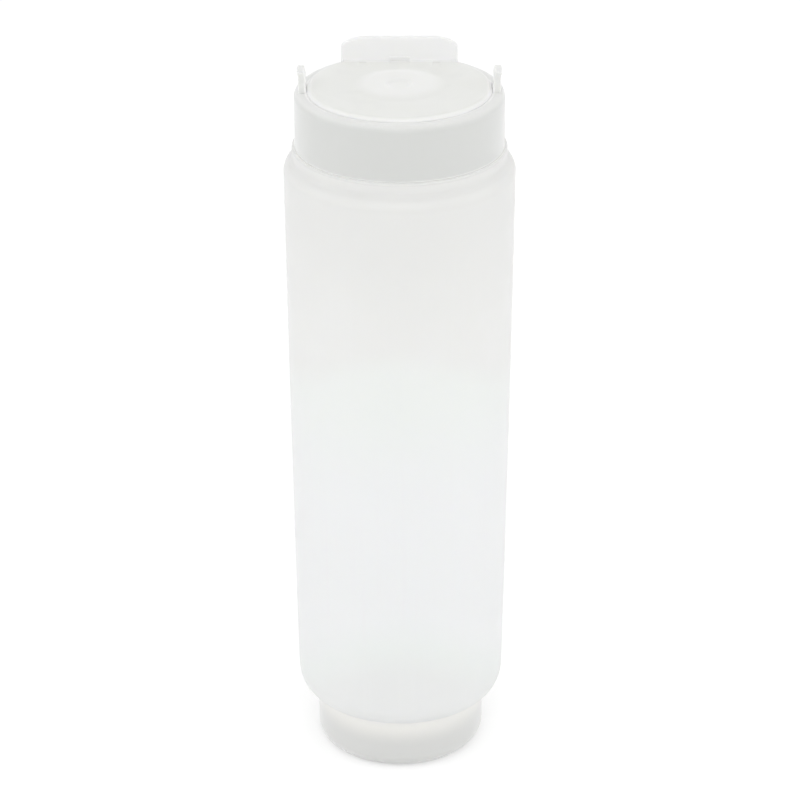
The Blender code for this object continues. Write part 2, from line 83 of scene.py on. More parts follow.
# Threads: plain neck before each, and where round the axis they start
UPPER_RUN_IN = 0.0014
LOWER_RUN_IN = 0.0012
UPPER_TURN = radians(200.0)
UPPER_CAP_TURN = radians(290.0)  # a quarter turn on, and a quarter pitch higher
LOWER_TURN = radians(20.0)

# Roundings of moulded edges
CRISP = 0.0001
FINE = 0.0002
SMALL = 0.0003
SOFT = 0.0004

# Steps round a full turn
TURN_STEPS = 160
SMALL_STEPS = 96
ROD_STEPS = 48
THREAD_STEPS = 72

SHARP_ANGLE = radians(28.0)  # edges sharper than this aren't smoothed
MERGE = 1e-6  # vertices this near become one
WHITE = (1.0, 1.0, 1.0, 1.0)
SENSOR_WIDTH = 36.0  # millimetres

# Heights between which the tones of the bottle and the caps change: painted shade in the side, waist,
# upper, shoulder, collar and foot bands, painted light in the ledge, hem and refill bands, wear in the
# rest
SIDE_SHADE_TONES = (0.096, 0.150)
WAIST_SHADE_TONES = (0.147, 0.160)
FOOT_SHADE_TONES = (0.036, 0.066)
UPPER_SHADE_TONES = (0.150, 0.205)
SHOULDER_SHADE_TONES = (0.2030, 0.2055)
SHOULDER_SHADE_FADE = (0.2085, 0.2110)
RUBBED_TONES = (0.198, 0.2065)
COLLAR_SHADE_TONES = (COLLAR_TOP - 0.0012, COLLAR_TOP - 0.0006)
LEDGE_LIGHT_TONES = (COLLAR_TOP - CRISP, COLLAR_TOP)
HEM_LIGHT_TONES = (CAP_LOW.z, CAP_LOW.z + 0.0007)
REFILL_LIGHT_TONES = (0.0085, REFILL_HIGH.z + 0.0010)
STANDING_TONES = (0.0, 0.0012)

# How far the edges of painted shade fall towards the parting lines, per square metre sideways
WAIST_SHADE_DIP = 13.5
FOOT_SHADE_DIP = 20.0


def length(name, description, default):
    """A length that a user can change."""
    return bpy.props.FloatProperty(
        name=name, description=description, default=default, min=0.0, precision=5, unit="LENGTH",
    )


def number(name, description, default):
    """A plain number that a user can change."""
    return bpy.props.FloatProperty(name=name, description=description, default=default, precision=3)


def angle(name, description, default):
    """An angle that a user can change."""
    return bpy.props.FloatProperty(
        name=name, description=description, default=radians(default), subtype="ANGLE",
    )


def colour(name, description, default):
    """A linear colour that a user can change."""
    return bpy.props.FloatVectorProperty(
        name=name, description=description, default=default, size=3, min=0.0, max=1.0,
        subtype="COLOR",
    )


class BottleSizes(bpy.types.PropertyGroup):
    """Sizes of the blow-moulded bottle."""

    radius: length("Radius", "Greatest radius, at the upper shoulder", BOTTLE_HIGH.x)
    base_radius: length("Base radius", "Radius above the lower shoulder", 0.0341)
    wall: length("Wall", "Thickness of the side", 0.0012)
    collar_radius: length("Collar radius", "Radius of the step under the cap", 0.0338)
    collar_height: length("Collar height", "Height of the step under the cap", 0.0044)
    collar_roof: length("Collar roof", "Thickness of the ledge round the upper neck", 0.0014)
    upper_shoulder: length("Upper shoulder", "Height of the upper shoulder", 0.0040)
    lower_shoulder: length("Lower shoulder", "Height of the lower shoulder", 0.0092)
    upper_neck: length("Upper neck", "Outer radius of the dispensing neck", 0.0296)
    lower_neck: length("Lower neck", "Outer radius of the refill neck", 0.02425)
    neck_wall: length("Neck wall", "Thickness of both necks", 0.0016)
    bulge: length("Bulge", "Swell of the side half way up", 0.0002)
    fullness: number("Fullness", "2 for a round lower shoulder, more for a fuller one", 2.35)
    parting_width: length("Parting line width", "Width of the mould's parting line", 0.0004)
    parting_height: length("Parting line height", "Height of the mould's parting line", 0.00009)


class ThreadSizes(bpy.types.PropertyGroup):
    """Sizes of the screw threads, the same at both ends."""

    pitch: length("Pitch", "Rise in one turn", 0.0050)
    depth: length("Depth", "Height of the thread off its wall", 0.0011)
    root: length("Root width", "Width of the thread at its wall", 0.0020)
    crest: length("Crest width", "Width of the thread at its top", 0.0009)
    turns: number("Turns", "Turns of thread on each piece", 1.5)
    play: length("Play", "Room between neck thread and cap thread", 0.00015)


class CapSizes(bpy.types.PropertyGroup):
    """Sizes of the dispensing cap."""

    wall: length("Wall", "Thickness of the skirt", 0.0018)
    edge: length("Edge", "Rounding of the upper edge", 0.0020)
    rim: length("Rim", "Width of the rim round the lid", 0.0040)
    recess: length("Recess", "Depth of the pocket that the lid lies in", 0.0020)
    deck: length("Deck", "Thickness of the deck under the lid", 0.0018)
    nozzle: length("Nozzle", "Outer radius of the raised ring", 0.0110)
    nozzle_wall: length("Nozzle wall", "Thickness of the raised ring", 0.0014)
    nozzle_height: length("Nozzle height", "Height of the raised ring", 0.0015)
    orifice: length("Orifice", "Radius of the hole round the valve", 0.0082)
    pocket_wall: length("Pocket wall", "Thickness of the wall round the valve", 0.0017)
    snap_lip: length("Snap lip", "Lip that holds the retainer in", 0.0004)
    snap_height: length("Snap lip height", "Height of that lip", 0.0006)
    ear_width: length("Ear width", "Width of a side ear", 0.0068)
    ear_height: length("Ear height", "Height of a side ear above the rim", 0.0066)
    ear_thickness: length("Ear thickness", "Thickness of a side ear at its foot", 0.0022)
    ear_inset: length("Ear inset", "Outer face of an ear, in from the skirt", 0.0014)
    ear_lead_in: length("Ear lead-in", "Slope of an ear's inner face", 0.0005)
    ear_rise: length("Ear rise", "Top of an ear above the packed model's", 0.0003)
    ear_catch: length("Ear catch", "Inward bump that the lid snaps past", 0.0002)
    ear_catch_drop: length("Ear catch drop", "Bump below the ear's top", 0.0024)
    ear_lip: length("Ear lip", "Lip at the top of an ear", 0.0003)
    ear_lip_height: length("Ear lip height", "Height of that lip", 0.0009)
    lug_radius: length("Lug radius", "Round top of a hinge lug", 0.0024)
    lug_width: length("Lug width", "Width of a hinge lug", 0.0038)


class LidSizes(bpy.types.PropertyGroup):
    """Sizes of the flip lid and its lever."""

    proud: length("Proud", "Lid's top above the cap's rim", 0.0015)
    seam: length("Seam", "Gap between the closed lid and the cap's rim", 0.00002)
    plate: length("Plate", "Thickness of the lid's top", 0.0015)
    wall: length("Wall", "Thickness of the lid's side", 0.0015)
    edge: length("Edge", "Rounding of the upper edge", 0.00145)
    dome: length("Dome", "Radius of the dome over the valve", 0.0150)
    dome_height: length("Dome height", "Height of the dome", 0.0006)
    dome_flank: length("Dome side", "Width of the dome's sloping side", 0.0055)
    dimple: length("Dimple", "Radius of the shallow dimple in the dome", 0.0047)
    dimple_flank: length("Dimple side", "Width of the dimple's sloping side", 0.0021)
    dimple_depth: length("Dimple depth", "Depth of the dimple", 0.0006)
    plug: length("Plug", "Outer radius of the sealing ring", 0.0093)
    plug_wall: length("Plug wall", "Thickness of the sealing ring", 0.0010)
    plug_lift: length("Plug lift", "Sealing ring's end above the lid's edge", 0.0002)
    sink_width: length("Sink width", "Width of a sink beside the lever", 0.0036)
    sink_length: length("Sink length", "Length of a sink", 0.0042)
    sink_depth: length("Sink depth", "Depth of a sink", 0.00018)
    sink_spread: length("Sink spread", "Distance between the sinks", 0.0234)
    sink_offset: length("Sink offset", "Sinks in front of the lever", 0.0030)
    lever_width: length("Lever width", "Width of the thumb lever", 0.0370)
    lever_thickness: length("Lever thickness", "Thickness of the thumb lever", 0.0020)
    lever_fillet: length("Lever fillet", "Rounding where the lever meets the lid", 0.0006)
    lever_reach: length("Lever reach", "Lever's back face in front of the hinge", 0.0028)
    corner_width: length("Corner width", "Width of the lever's rounded corner", 0.0085)
    corner_height: length("Corner height", "Height of the lever's rounded corner", 0.0036)
    notch_width: length("Notch width", "Width of the notch at the lever's foot", 0.0064)
    notch_height: length("Notch height", "Height of the notch in the lever", 0.0009)
    notch_depth: length("Notch depth", "Depth of the notch in the lever", 0.00018)
    notch_sink: length("Notch sink", "Depth of the notch in the lid's top", 0.00012)
    notch_reach: length("Notch reach", "Length of the notch on the lid", 0.0024)
    brow: length("Brow", "Thickness of the ridge over the notch", 0.0004)
    brow_lift: length("Brow lift", "Ridge above the notch", 0.0001)
    barrel: length("Barrel", "Radius of the hinge barrel", 0.0016)
    barrel_length: length("Barrel length", "Length of the hinge barrel", 0.0190)
    web_rise: length("Web rise", "Top of the barrel's web above its axis", 0.0009)
    trunnion: length("Trunnion", "Radius of a hinge pin", 0.0011)
    trunnion_length: length("Trunnion length", "Length of a hinge pin", 0.0027)


class ValveSizes(bpy.types.PropertyGroup):
    """Sizes of the silicone valve and the ring that holds it."""

    flange: length("Flange", "Thickness of the valve's flange", 0.0014)
    wall: length("Wall", "Thickness of the valve's wall", 0.0009)
    radius: length("Radius", "Radius of the valve's head", 0.0076)
    edge: length("Edge", "Rounding of the head", 0.0005)
    dish: length("Dish", "Depth of the dished head", 0.0013)
    slit_length: length("Slit length", "Length of each crossed slit", 0.0086)
    slit_width: length("Slit width", "Width of a slit", 0.00018)
    slit_depth: length("Slit depth", "Depth of a slit", 0.0005)
    retainer_bore: length("Retainer bore", "Inner radius of the retainer", 0.0080)


class RefillCapSizes(bpy.types.PropertyGroup):
    """Sizes of the refill cap that the bottle stands on."""

    swell: length("Swell", "Radius beyond the packed model's", 0.0002)
    wall: length("Wall", "Thickness of the skirt", 0.0019)
    edge: length("Edge", "Rounding of the standing edge", 0.0048)
    floor: length("Floor", "Thickness of the floor", 0.0016)
    seat_height: length("Seat height", "Ledge that carries the seal, above the table", 0.0032)
    seat_width: length("Seat width", "Width of that ledge", 0.0040)
    recess: length("Recess", "Radius of the recess under the cap", 0.0150)
    recess_depth: length("Recess depth", "Depth of that recess", 0.0006)
    gate: length("Gate", "Radius of the moulding gate's mark", 0.0011)
    gate_height: length("Gate height", "Height of that mark", 0.0003)


class Finishes(bpy.types.PropertyGroup):
    """Colours and clearness of the plastics, and the painted light and shade laid over them."""

    # Painted shade: darker colour laid on the bottle from its middle up and above its waist
    upper_painted_shade: colour("Bottle, upper", "Bottle's colour near the cap", (0.862, 0.866, 0.846))
    # Painted shade: darker colour on the bottle's shoulder
    shoulder_painted_shade: colour("Bottle, shoulder", "Bottle's colour on its shoulder", (0.799, 0.801, 0.785))
    bottle_lower: colour("Bottle, lower", "Bottle's colour near the base", (0.903, 0.975, 0.920))
    # Painted shade: darker colour low on the bottle, in an arch above the refill cap
    foot_painted_shade: colour("Bottle, foot", "Bottle's colour above the refill cap", (0.850, 0.860, 0.850))
    bottle_streak: colour("Bottle, streaks", "Thicker streaks in the wall", (0.890, 0.900, 0.885))
    cap: colour("Dispensing cap", "Colour of the wide cap", (0.708, 0.717, 0.701))
    # Painted light: paler colour on the top of the cap's rim
    rim_painted_light: colour("Cap's rim", "Dispensing cap's colour on its thin rim", (0.812, 0.818, 0.802))
    # Painted light: paler colour in the crease where the cap meets the collar
    hem_painted_light: colour("Cap's hem", "Plastic where the cap meets the collar", (0.970, 0.973, 0.945))
    # Painted light: near-white colour in the grooves beside the ears, against their shade
    groove_painted_light: colour("Grooves", "Plastic between lid and ears", (1.0, 1.0, 0.98))
    # Painted shade: darker colour on the collar's rounding
    collar: colour("Collar", "Bottle's colour on its collar's rounding", (0.740, 0.742, 0.728))
    refill_cap: colour("Refill cap", "Colour of the narrow cap's foot", (0.736, 0.739, 0.726))
    # Painted light: paler colour towards the refill cap's top
    refill_top_painted_light: colour("Refill cap's rim", "Colour of its thin upper edge", (0.965, 0.953, 0.914))
    lid: colour("Lid", "Colour of the flip lid", (0.840, 0.848, 0.815))
    # Painted light: paler colour on the lid's dome
    dome_painted_light: colour("Lid's dome", "Lid's colour over the valve", (0.902, 0.906, 0.882))
    # Painted light: paler colour beside the lid's seam, against its shade
    seam_painted_light: colour("Seam's edges", "Thin plastic beside the lid's seam", (0.925, 0.930, 0.910))
    # Painted light: the thin lever is paler, standing in for light that comes through it
    lever: colour("Lever", "Colour of the thin lever", (0.945, 0.948, 0.930))
    flow: colour("Flow marks", "Thin cloudy marks in moulded plastic", (0.700, 0.705, 0.690))
    scuff: colour("Scuffs", "Whitened plastic on rubbed edges", (0.930, 0.930, 0.925))
    valve: colour("Valve", "Colour of the silicone", (0.800, 0.815, 0.830))
    seal: colour("Seals", "Colour of the foam seals", (0.860, 0.860, 0.845))
    bottle_depth: length("Bottle depth", "How far light spreads in the bottle", 0.0014)
    cap_depth: length("Cap depth", "How far light spreads in the caps", 0.0005)
    bottle_glow: number("Bottle glow", "Paler edges where the bottle turns away", 0.25)
    cap_glow: number("Cap glow", "Paler edges where the caps turn away", 0.9)
    lid_glow: number("Lid glow", "Paler edges where the lid turns away", 0.9)
    glow_spread: number("Glow spread", "Width of the paler edges, up to 1", 0.4)
    bottle_clearness: number("Bottle clearness", "Light let through the bottle", 0.10)
    cap_clearness: number("Cap clearness", "Light let through the caps", 0.12)
    lid_clearness: number("Lid clearness", "Light let through the lid", 0.15)
    valve_clearness: number("Valve clearness", "Light let through the valve", 0.25)


class StageSettings(bpy.types.PropertyGroup):
    """Camera, floor and lights."""

    target_height: length("Target height", "Height of the point the camera looks at", 0.12374)
    distance: length("Distance", "Camera to that point", 1.045)
    elevation: angle("Elevation", "Camera above the horizon", 25.98)
    roll: angle("Roll", "Camera's small tilt", -0.10)
    lens: number("Lens", "Focal length in millimetres", 144.6)
    floor_radius: length("Floor radius", "Radius of the floor", 3.0)
    floor: colour("Floor", "Colour of the floor", (0.84, 0.84, 0.84))
    floor_lift: number("Floor lift", "Brightness added to the floor in view", 0.24)
    ambient: number("Ambient", "Strength of the light all round", 0.89)
    side_power: number("Side lights", "Power of each light beside, in watts", 1.3)
    front_power: number("Front light", "Power of the light in front, in watts", 4.4)


class SqueezeBottleSettings(bpy.types.PropertyGroup):
    """All sizes and colours of the squeeze bottle."""

    bottle: bpy.props.PointerProperty(type=BottleSizes, name="Bottle", description="Bottle")
    thread: bpy.props.PointerProperty(type=ThreadSizes, name="Threads", description="Threads")
    cap: bpy.props.PointerProperty(type=CapSizes, name="Dispensing cap", description="Wide cap")
    lid: bpy.props.PointerProperty(type=LidSizes, name="Flip lid", description="Lid and lever")
    valve: bpy.props.PointerProperty(type=ValveSizes, name="Valve", description="Silicone valve")
    refill: bpy.props.PointerProperty(type=RefillCapSizes, name="Refill cap", description="Foot")
    finish: bpy.props.PointerProperty(type=Finishes, name="Finishes", description="Plastics")
    stage: bpy.props.PointerProperty(type=StageSettings, name="Stage", description="Studio")


def settings():
    """The scene's squeeze bottle settings."""
    return bpy.context.scene.squeeze_bottle


def rim_height():
    """Height of the rim round the lid."""
    return CAP_HIGH.z - settings().cap.ear_height


def lid_top():
    """Height of the lid's flat top."""
    return rim_height() + settings().lid.proud


def lid_bore():
    """Radius of the pocket that the lid lies in."""
    return CAP_HIGH.x - settings().cap.rim


def lid_radius():
    """Radius of the lid, almost as wide as its pocket."""
    return lid_bore() - settings().lid.seam


def lever_front():
    """Y of the lever's front face."""
    return HINGE.y - settings().lid.lever_reach - settings().lid.lever_thickness


def lug_face():
    """X of a hinge lug's inner face."""
    return settings().lid.barrel_length / 2 + SEAT_GAP


def thread_height(face_z, run_in):
    """Height at which a neck's thread starts, half way up its width."""
    return face_z + settings().thread.root / 2 + run_in


def thread_offset():
    """How far a cap's thread lies from its neck's along the bottle, so that they nearly touch."""
    sizes = settings().thread
    sloped = 0.55  # share of the root's width left out, because the flanks slope
    return sizes.root - sloped * sizes.root + sizes.crest / 2 + sizes.play


# Shapes

def arc(centre, radii, start, end, steps=12):
    """Points along an ellipse's arc, both ends included."""
    angles = [start + (end - start) * i / steps for i in range(steps + 1)]
    return [(centre[0] + radii[0] * cos(a), centre[1] + radii[1] * sin(a)) for a in angles]


def wire(corners, closed=True, segments=5):
    """A wire of (x, z) corners at y = 0. A third number rounds that corner."""
    shape = bmesh.new()
    verts = [shape.verts.new((corner[0], 0.0, corner[1])) for corner in corners]
    ends = list(zip(verts, verts[1:])) + [(verts[-1], verts[0])] * closed
    for pair in ends:
        shape.edges.new(pair)
    rounded = {}
    for vert, corner in zip(verts, corners):
        if len(corner) == 3:
            rounded.setdefault(corner[2], []).append(vert)
    for size, group in rounded.items():
        bmesh.ops.bevel(
            shape, geom=group, offset=size, offset_type="OFFSET", affect="VERTICES",
            segments=segments, profile=0.5, material=-1,
        )
    return shape


def close_ends(shape):
    """Fill every open end of a shape."""
    rims = [edge for edge in shape.edges if len(edge.link_faces) < 2]
    bmesh.ops.holes_fill(shape, edges=rims, sides=0)


def turned(corners, steps=TURN_STEPS, start=0.0, sweep=tau):
    """Spin an outline of (radius, height) corners round Z, all the way or part of it."""
    on_axis = corners[0][0] == 0.0 and corners[-1][0] == 0.0
    full = sweep == tau
    shape = wire(corners, closed=not on_axis)
    turn = Matrix.Rotation(start, 3, "Z")
    bmesh.ops.rotate(shape, verts=shape.verts, cent=(0, 0, 0), matrix=turn)
    bmesh.ops.spin(
        shape, geom=shape.verts[:] + shape.edges[:], cent=(0, 0, 0), axis=(0, 0, 1),
        angle=sweep, steps=steps, use_merge=full,
    )
    if on_axis:
        poles = [vert for vert in shape.verts if vert.co.xy.length < MERGE]
        bmesh.ops.remove_doubles(shape, verts=poles, dist=MERGE)
    if not full:
        close_ends(shape)
    bmesh.ops.recalc_face_normals(shape, faces=shape.faces)
    return shape


def prism(corners, depth, edge=0.0, segments=5):
    """Extrude an (x, z) outline along +Y and round the edges of both its ends."""
    shape = wire(corners, segments=segments)
    face = bmesh.ops.contextual_create(shape, geom=shape.edges[:])["faces"][0]
    made = bmesh.ops.extrude_face_region(shape, geom=[face])["geom"]
    verts = [item for item in made if isinstance(item, bmesh.types.BMVert)]
    bmesh.ops.translate(shape, verts=verts, vec=(0.0, depth, 0.0))
    if edge:
        flat = [item for item in shape.faces if abs(item.normal.y) > 0.5 or len(item.verts) > 4]
        rims = {item for end in flat for item in end.edges}
        soften(shape, rims, edge)
    bmesh.ops.recalc_face_normals(shape, faces=shape.faces)
    return shape


def soften(shape, edges, size, segments=3):
    """Round some edges of a shape."""
    bmesh.ops.bevel(
        shape, geom=list(edges), offset=size, offset_type="OFFSET", affect="EDGES",
        segments=segments, profile=0.5, material=-1,
    )


def placed(shape, turn=0.0, offset=(0.0, 0.0, 0.0)):
    """Turn a shape round Z, then move it."""
    matrix = Matrix.Rotation(turn, 3, "Z")
    bmesh.ops.rotate(shape, verts=shape.verts, cent=(0, 0, 0), matrix=matrix)
    bmesh.ops.translate(shape, verts=shape.verts, vec=offset)
    return shape


def box(low, high, edge=0.0):
    """A box between two opposite corners, with rounded edges if asked."""
    shape = bmesh.new()
    bmesh.ops.create_cube(shape, size=1.0)
    bmesh.ops.scale(shape, verts=shape.verts, vec=[b - a for a, b in zip(low, high)])
    bmesh.ops.translate(shape, verts=shape.verts, vec=[(a + b) / 2 for a, b in zip(low, high)])
    if edge:
        soften(shape, shape.edges, edge)
    return shape


def rod(radius, reach_low, reach_high, edge=0.0):
    """A round rod along X on the lid's hinge axis."""
    rounding = (edge,) if edge else ()
    low, high = (radius, reach_low, *rounding), (radius, reach_high, *rounding)
    shape = turned([(0.0, reach_low), low, high, (0.0, reach_high)], steps=ROD_STEPS)
    matrix = Matrix.Rotation(pi / 2, 3, "Y")
    bmesh.ops.rotate(shape, verts=shape.verts, cent=(0, 0, 0), matrix=matrix)
    bmesh.ops.translate(shape, verts=shape.verts, vec=HINGE)
    return shape


def mesh_object(name, shape):
    """Turn a shape into an object at the origin."""
    mesh = bpy.data.meshes.new(name)
    shape.to_mesh(mesh)
    shape.free()
    item = bpy.data.objects.new(name, mesh)
    bpy.context.scene.collection.objects.link(item)
    return item


def combined(base, parts):
    """Join shapes to a base or cut them from it, in order, and return the result."""
    carrier = mesh_object("carrier", base)
    helpers = []
    for operation, shape in parts:
        helper = mesh_object("helper", shape)
        modifier = carrier.modifiers.new(operation, "BOOLEAN")
        modifier.operation = operation
        modifier.solver = "EXACT"
        modifier.object = helper
        helpers.append(helper)
    bpy.context.view_layer.update()
    graph = bpy.context.evaluated_depsgraph_get()
    result = bmesh.new()
    result.from_mesh(carrier.evaluated_get(graph).data)
    for item in helpers + [carrier]:
        mesh = item.data
        bpy.data.objects.remove(item)
        bpy.data.meshes.remove(mesh)
    if not result.faces:
        raise RuntimeError("joining the shapes left nothing")
    return result


def thread_ridge(wall_radius, side, low_z, start):
    """A screw thread on a wall, outwards for side 1 and inwards for side -1, with faded ends."""
    sizes = settings().thread
    embed = 0.3 * sizes.depth
    rounding = 0.2 * sizes.depth
    slope = (sizes.root - sizes.crest) / 2 / sizes.depth
    root = wall_radius - side * embed
    crest = wall_radius + side * sizes.depth
    half_root = sizes.root / 2 + slope * embed
    half_crest = sizes.crest / 2
    shape = wire([
        (root, -half_root), (crest, -half_crest, rounding), (crest, half_crest, rounding),
        (root, half_root),
    ], segments=2)
    bmesh.ops.spin(
        shape, geom=shape.verts[:] + shape.edges[:], cent=(0, 0, 0), axis=(0, 0, 1),
        dvec=(0, 0, sizes.pitch / THREAD_STEPS), angle=tau * sizes.turns,
        steps=round(THREAD_STEPS * sizes.turns), use_merge=False,
    )
    close_ends(shape)
    fade = 0.14  # share of a turn over which an end sinks into its wall
    least = 0.04  # share of the height that is left at an end
    for vert in shape.verts:
        turn = atan2(vert.co.y, vert.co.x) % tau / tau
        turn += round(vert.co.z / sizes.pitch - turn)
        left = max(0.0, min(1.0, min(turn, sizes.turns - turn) / fade))
        height = least + (1 - least) * left * left * (3 - 2 * left)
        radius = hypot(vert.co.x, vert.co.y)
        vert.co.xy *= (root + (radius - root) * height) / radius
    bmesh.ops.recalc_face_normals(shape, faces=shape.faces)
    return placed(shape, start, (0.0, 0.0, low_z))


def finish_piece(name, shape, material, body, node):
    """Make a finished piece that stands for a node and rides on a body."""
    piece = mesh_object(name, shape)
    piece.data.materials.append(material)
    piece.data.shade_smooth()
    piece.data.set_sharp_from_angle(angle=SHARP_ANGLE)
    even = piece.modifiers.new("even_shading", "WEIGHTED_NORMAL")
    even.keep_sharp = True
    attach(piece, body)
    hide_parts(node)
    return piece


# Finishes

def set_inputs(tree, node, inputs):
    """Set a node's inputs to values, or link them to other nodes' sockets."""
    for key, value in inputs.items():
        if isinstance(value, bpy.types.NodeSocket):
            tree.links.new(value, node.inputs[key])
        else:
            node.inputs[key].default_value = value


def add_node(tree, kind, inputs=None, **values):
    """Add a node to a tree with its settings and inputs."""
    made = tree.nodes.new(kind)
    for key, value in values.items():
        setattr(made, key, value)
    set_inputs(tree, made, inputs or {})
    return made


class Finish:
    """Builds one plastic's node tree in layers, on Object coordinates in metres."""

    def __init__(self, name, colour, roughness, clearness, depth, glow=0.0):
        self.material = bpy.data.materials.new(name)
        self.material.use_nodes = True
        self.tree = self.material.node_tree
        self.shader = self.tree.nodes["Principled BSDF"]
        set_inputs(self.tree, self.shader, {
            "Transmission Weight": clearness, "Subsurface Weight": 1.0,
            "Subsurface Radius": (1.0, 1.0, 0.95), "Subsurface Scale": depth,
            "Sheen Weight": glow, "Sheen Roughness": settings().finish.glow_spread, "IOR": 1.50,
        })
        self.place = self.node("ShaderNodeTexCoord").outputs["Object"]
        uneven = 0.05  # roughness more or less
        self.roughness = self.spread(
            self.grain(0.006), 0.3, 0.7, roughness - uneven, roughness + uneven,
        )
        self.colour = colour
        self.bump = None

    def node(self, kind, inputs=None, **values):
        """Add a node to this plastic's tree."""
        return add_node(self.tree, kind, inputs, **values)

    def grain(self, size, stretch=(1.0, 1.0, 1.0), detail=2.0, warp=0.0):
        """Noise with features of a size in metres, stretched along an axis by a small number."""
        place = self.node("ShaderNodeMapping", {"Vector": self.place, "Scale": stretch})
        noise = self.node("ShaderNodeTexNoise", {
            "Vector": place.outputs["Vector"], "Scale": 1.0 / size, "Detail": detail,
            "Distortion": warp,
        })
        return noise.outputs["Fac"]

    def cells(self, size):
        """Distance to the middle of random cells of a size in metres."""
        cells = self.node("ShaderNodeTexVoronoi", {"Vector": self.place, "Scale": 1.0 / size})
        return cells.outputs["Distance"]

    def spread(self, value, low, high, to_low=0.0, to_high=1.0):
        """Map a range of values smoothly to another."""
        made = self.node("ShaderNodeMapRange", {
            "Value": value, "From Min": low, "From Max": high, "To Min": to_low, "To Max": to_high,
        }, interpolation_type="SMOOTHSTEP")
        return made.outputs["Result"]

    def times(self, first, second):
        """The product of two values."""
        made = self.node("ShaderNodeMath", {0: first, 1: second}, operation="MULTIPLY")
        return made.outputs["Value"]

    def along(self, axis):
        """Place along an axis, in metres."""
        return self.node("ShaderNodeSeparateXYZ", {"Vector": self.place}).outputs[axis]

    def sideways(self):
        """Square of the distance to the left or right, in square metres."""
        return self.times(self.along("X"), self.along("X"))

    def dipped(self, height, dip):
        """Height that counts as more towards -X and +X, so that the edges of painted shade dip at the
        parting lines.
        """
        made = self.node(
            "ShaderNodeMath", {0: self.sideways(), 1: dip, 2: height}, operation="MULTIPLY_ADD",
        )
        return made.outputs["Value"]

    def axis_distance(self):
        """Distance from the bottle's axis."""
        flat = self.node("ShaderNodeMapping", {"Vector": self.place, "Scale": (1.0, 1.0, 0.0)})
        made = self.node(
            "ShaderNodeVectorMath", {"Vector": flat.outputs["Vector"]}, operation="LENGTH",
        )
        return made.outputs["Value"]

    def seam_painted_light(self, radius, side):
        """1 beside the lid's seam, where light is painted against its shade, fading over a millimetre on
        one side of it.
        """
        fade = 0.0012
        ends = (1.0, 0.0) if side > 0 else (0.0, 1.0)
        near = self.spread(self.axis_distance(), *sorted((radius, radius + side * fade)), *ends)
        top = self.spread(self.along("Z"), rim_height() - SOFT, rim_height() - FINE)
        return self.times(near, top)

    def groove_light_mask(self):
        """1 low in the grooves between the lid's edge and the two ears, where light is painted against
        their shade.
        """
        rim, bore = rim_height(), lid_bore()
        beside = self.times(
            self.spread(self.sideways(), (bore - 0.0022) ** 2, (bore - 0.0006) ** 2),
            self.spread(self.axis_distance(), bore + 0.0004, bore + 0.0010, 1.0, 0.0),
        )
        height = self.along("Z")
        low = self.times(
            self.spread(height, rim - 0.0004, rim),
            self.spread(height, rim + 0.0012, rim + 0.0024, 1.0, 0.0),
        )
        return self.times(beside, low)

    def layer(self, factor, colour):
        """Lay a colour over what is there, by a factor."""
        first, second = (
            value if isinstance(value, bpy.types.NodeSocket) else (*value, 1.0)
            for value in (self.colour, colour)
        )
        made = self.node("ShaderNodeMix", {0: factor, 6: first, 7: second}, data_type="RGBA")
        self.colour = made.outputs[2]

    def wear(self, rubbed, paleness, dullness):
        """Whiten and dull the plastic where it is rubbed."""
        self.layer(self.times(rubbed, paleness), settings().finish.scuff)
        self.dull(rubbed, dullness)

    def dull(self, factor, amount):
        """Add roughness where a factor is high."""
        made = self.node(
            "ShaderNodeMath", {0: factor, 1: amount, 2: self.roughness}, operation="MULTIPLY_ADD",
        )
        self.roughness = made.outputs["Value"]

    def relief(self, value, depth):
        """Lay a relief, given in metres of depth, over what is there."""
        inputs = {"Height": value, "Distance": depth, "Strength": 1.0}
        if self.bump:
            inputs["Normal"] = self.bump
        self.bump = self.node("ShaderNodeBump", inputs).outputs["Normal"]

    def done(self):
        """Join colour, roughness and relief to the shader."""
        joined = {"Base Color": self.colour, "Roughness": self.roughness}
        if self.bump:
            joined["Normal"] = self.bump
        set_inputs(self.tree, self.shader, joined)
        return self.material


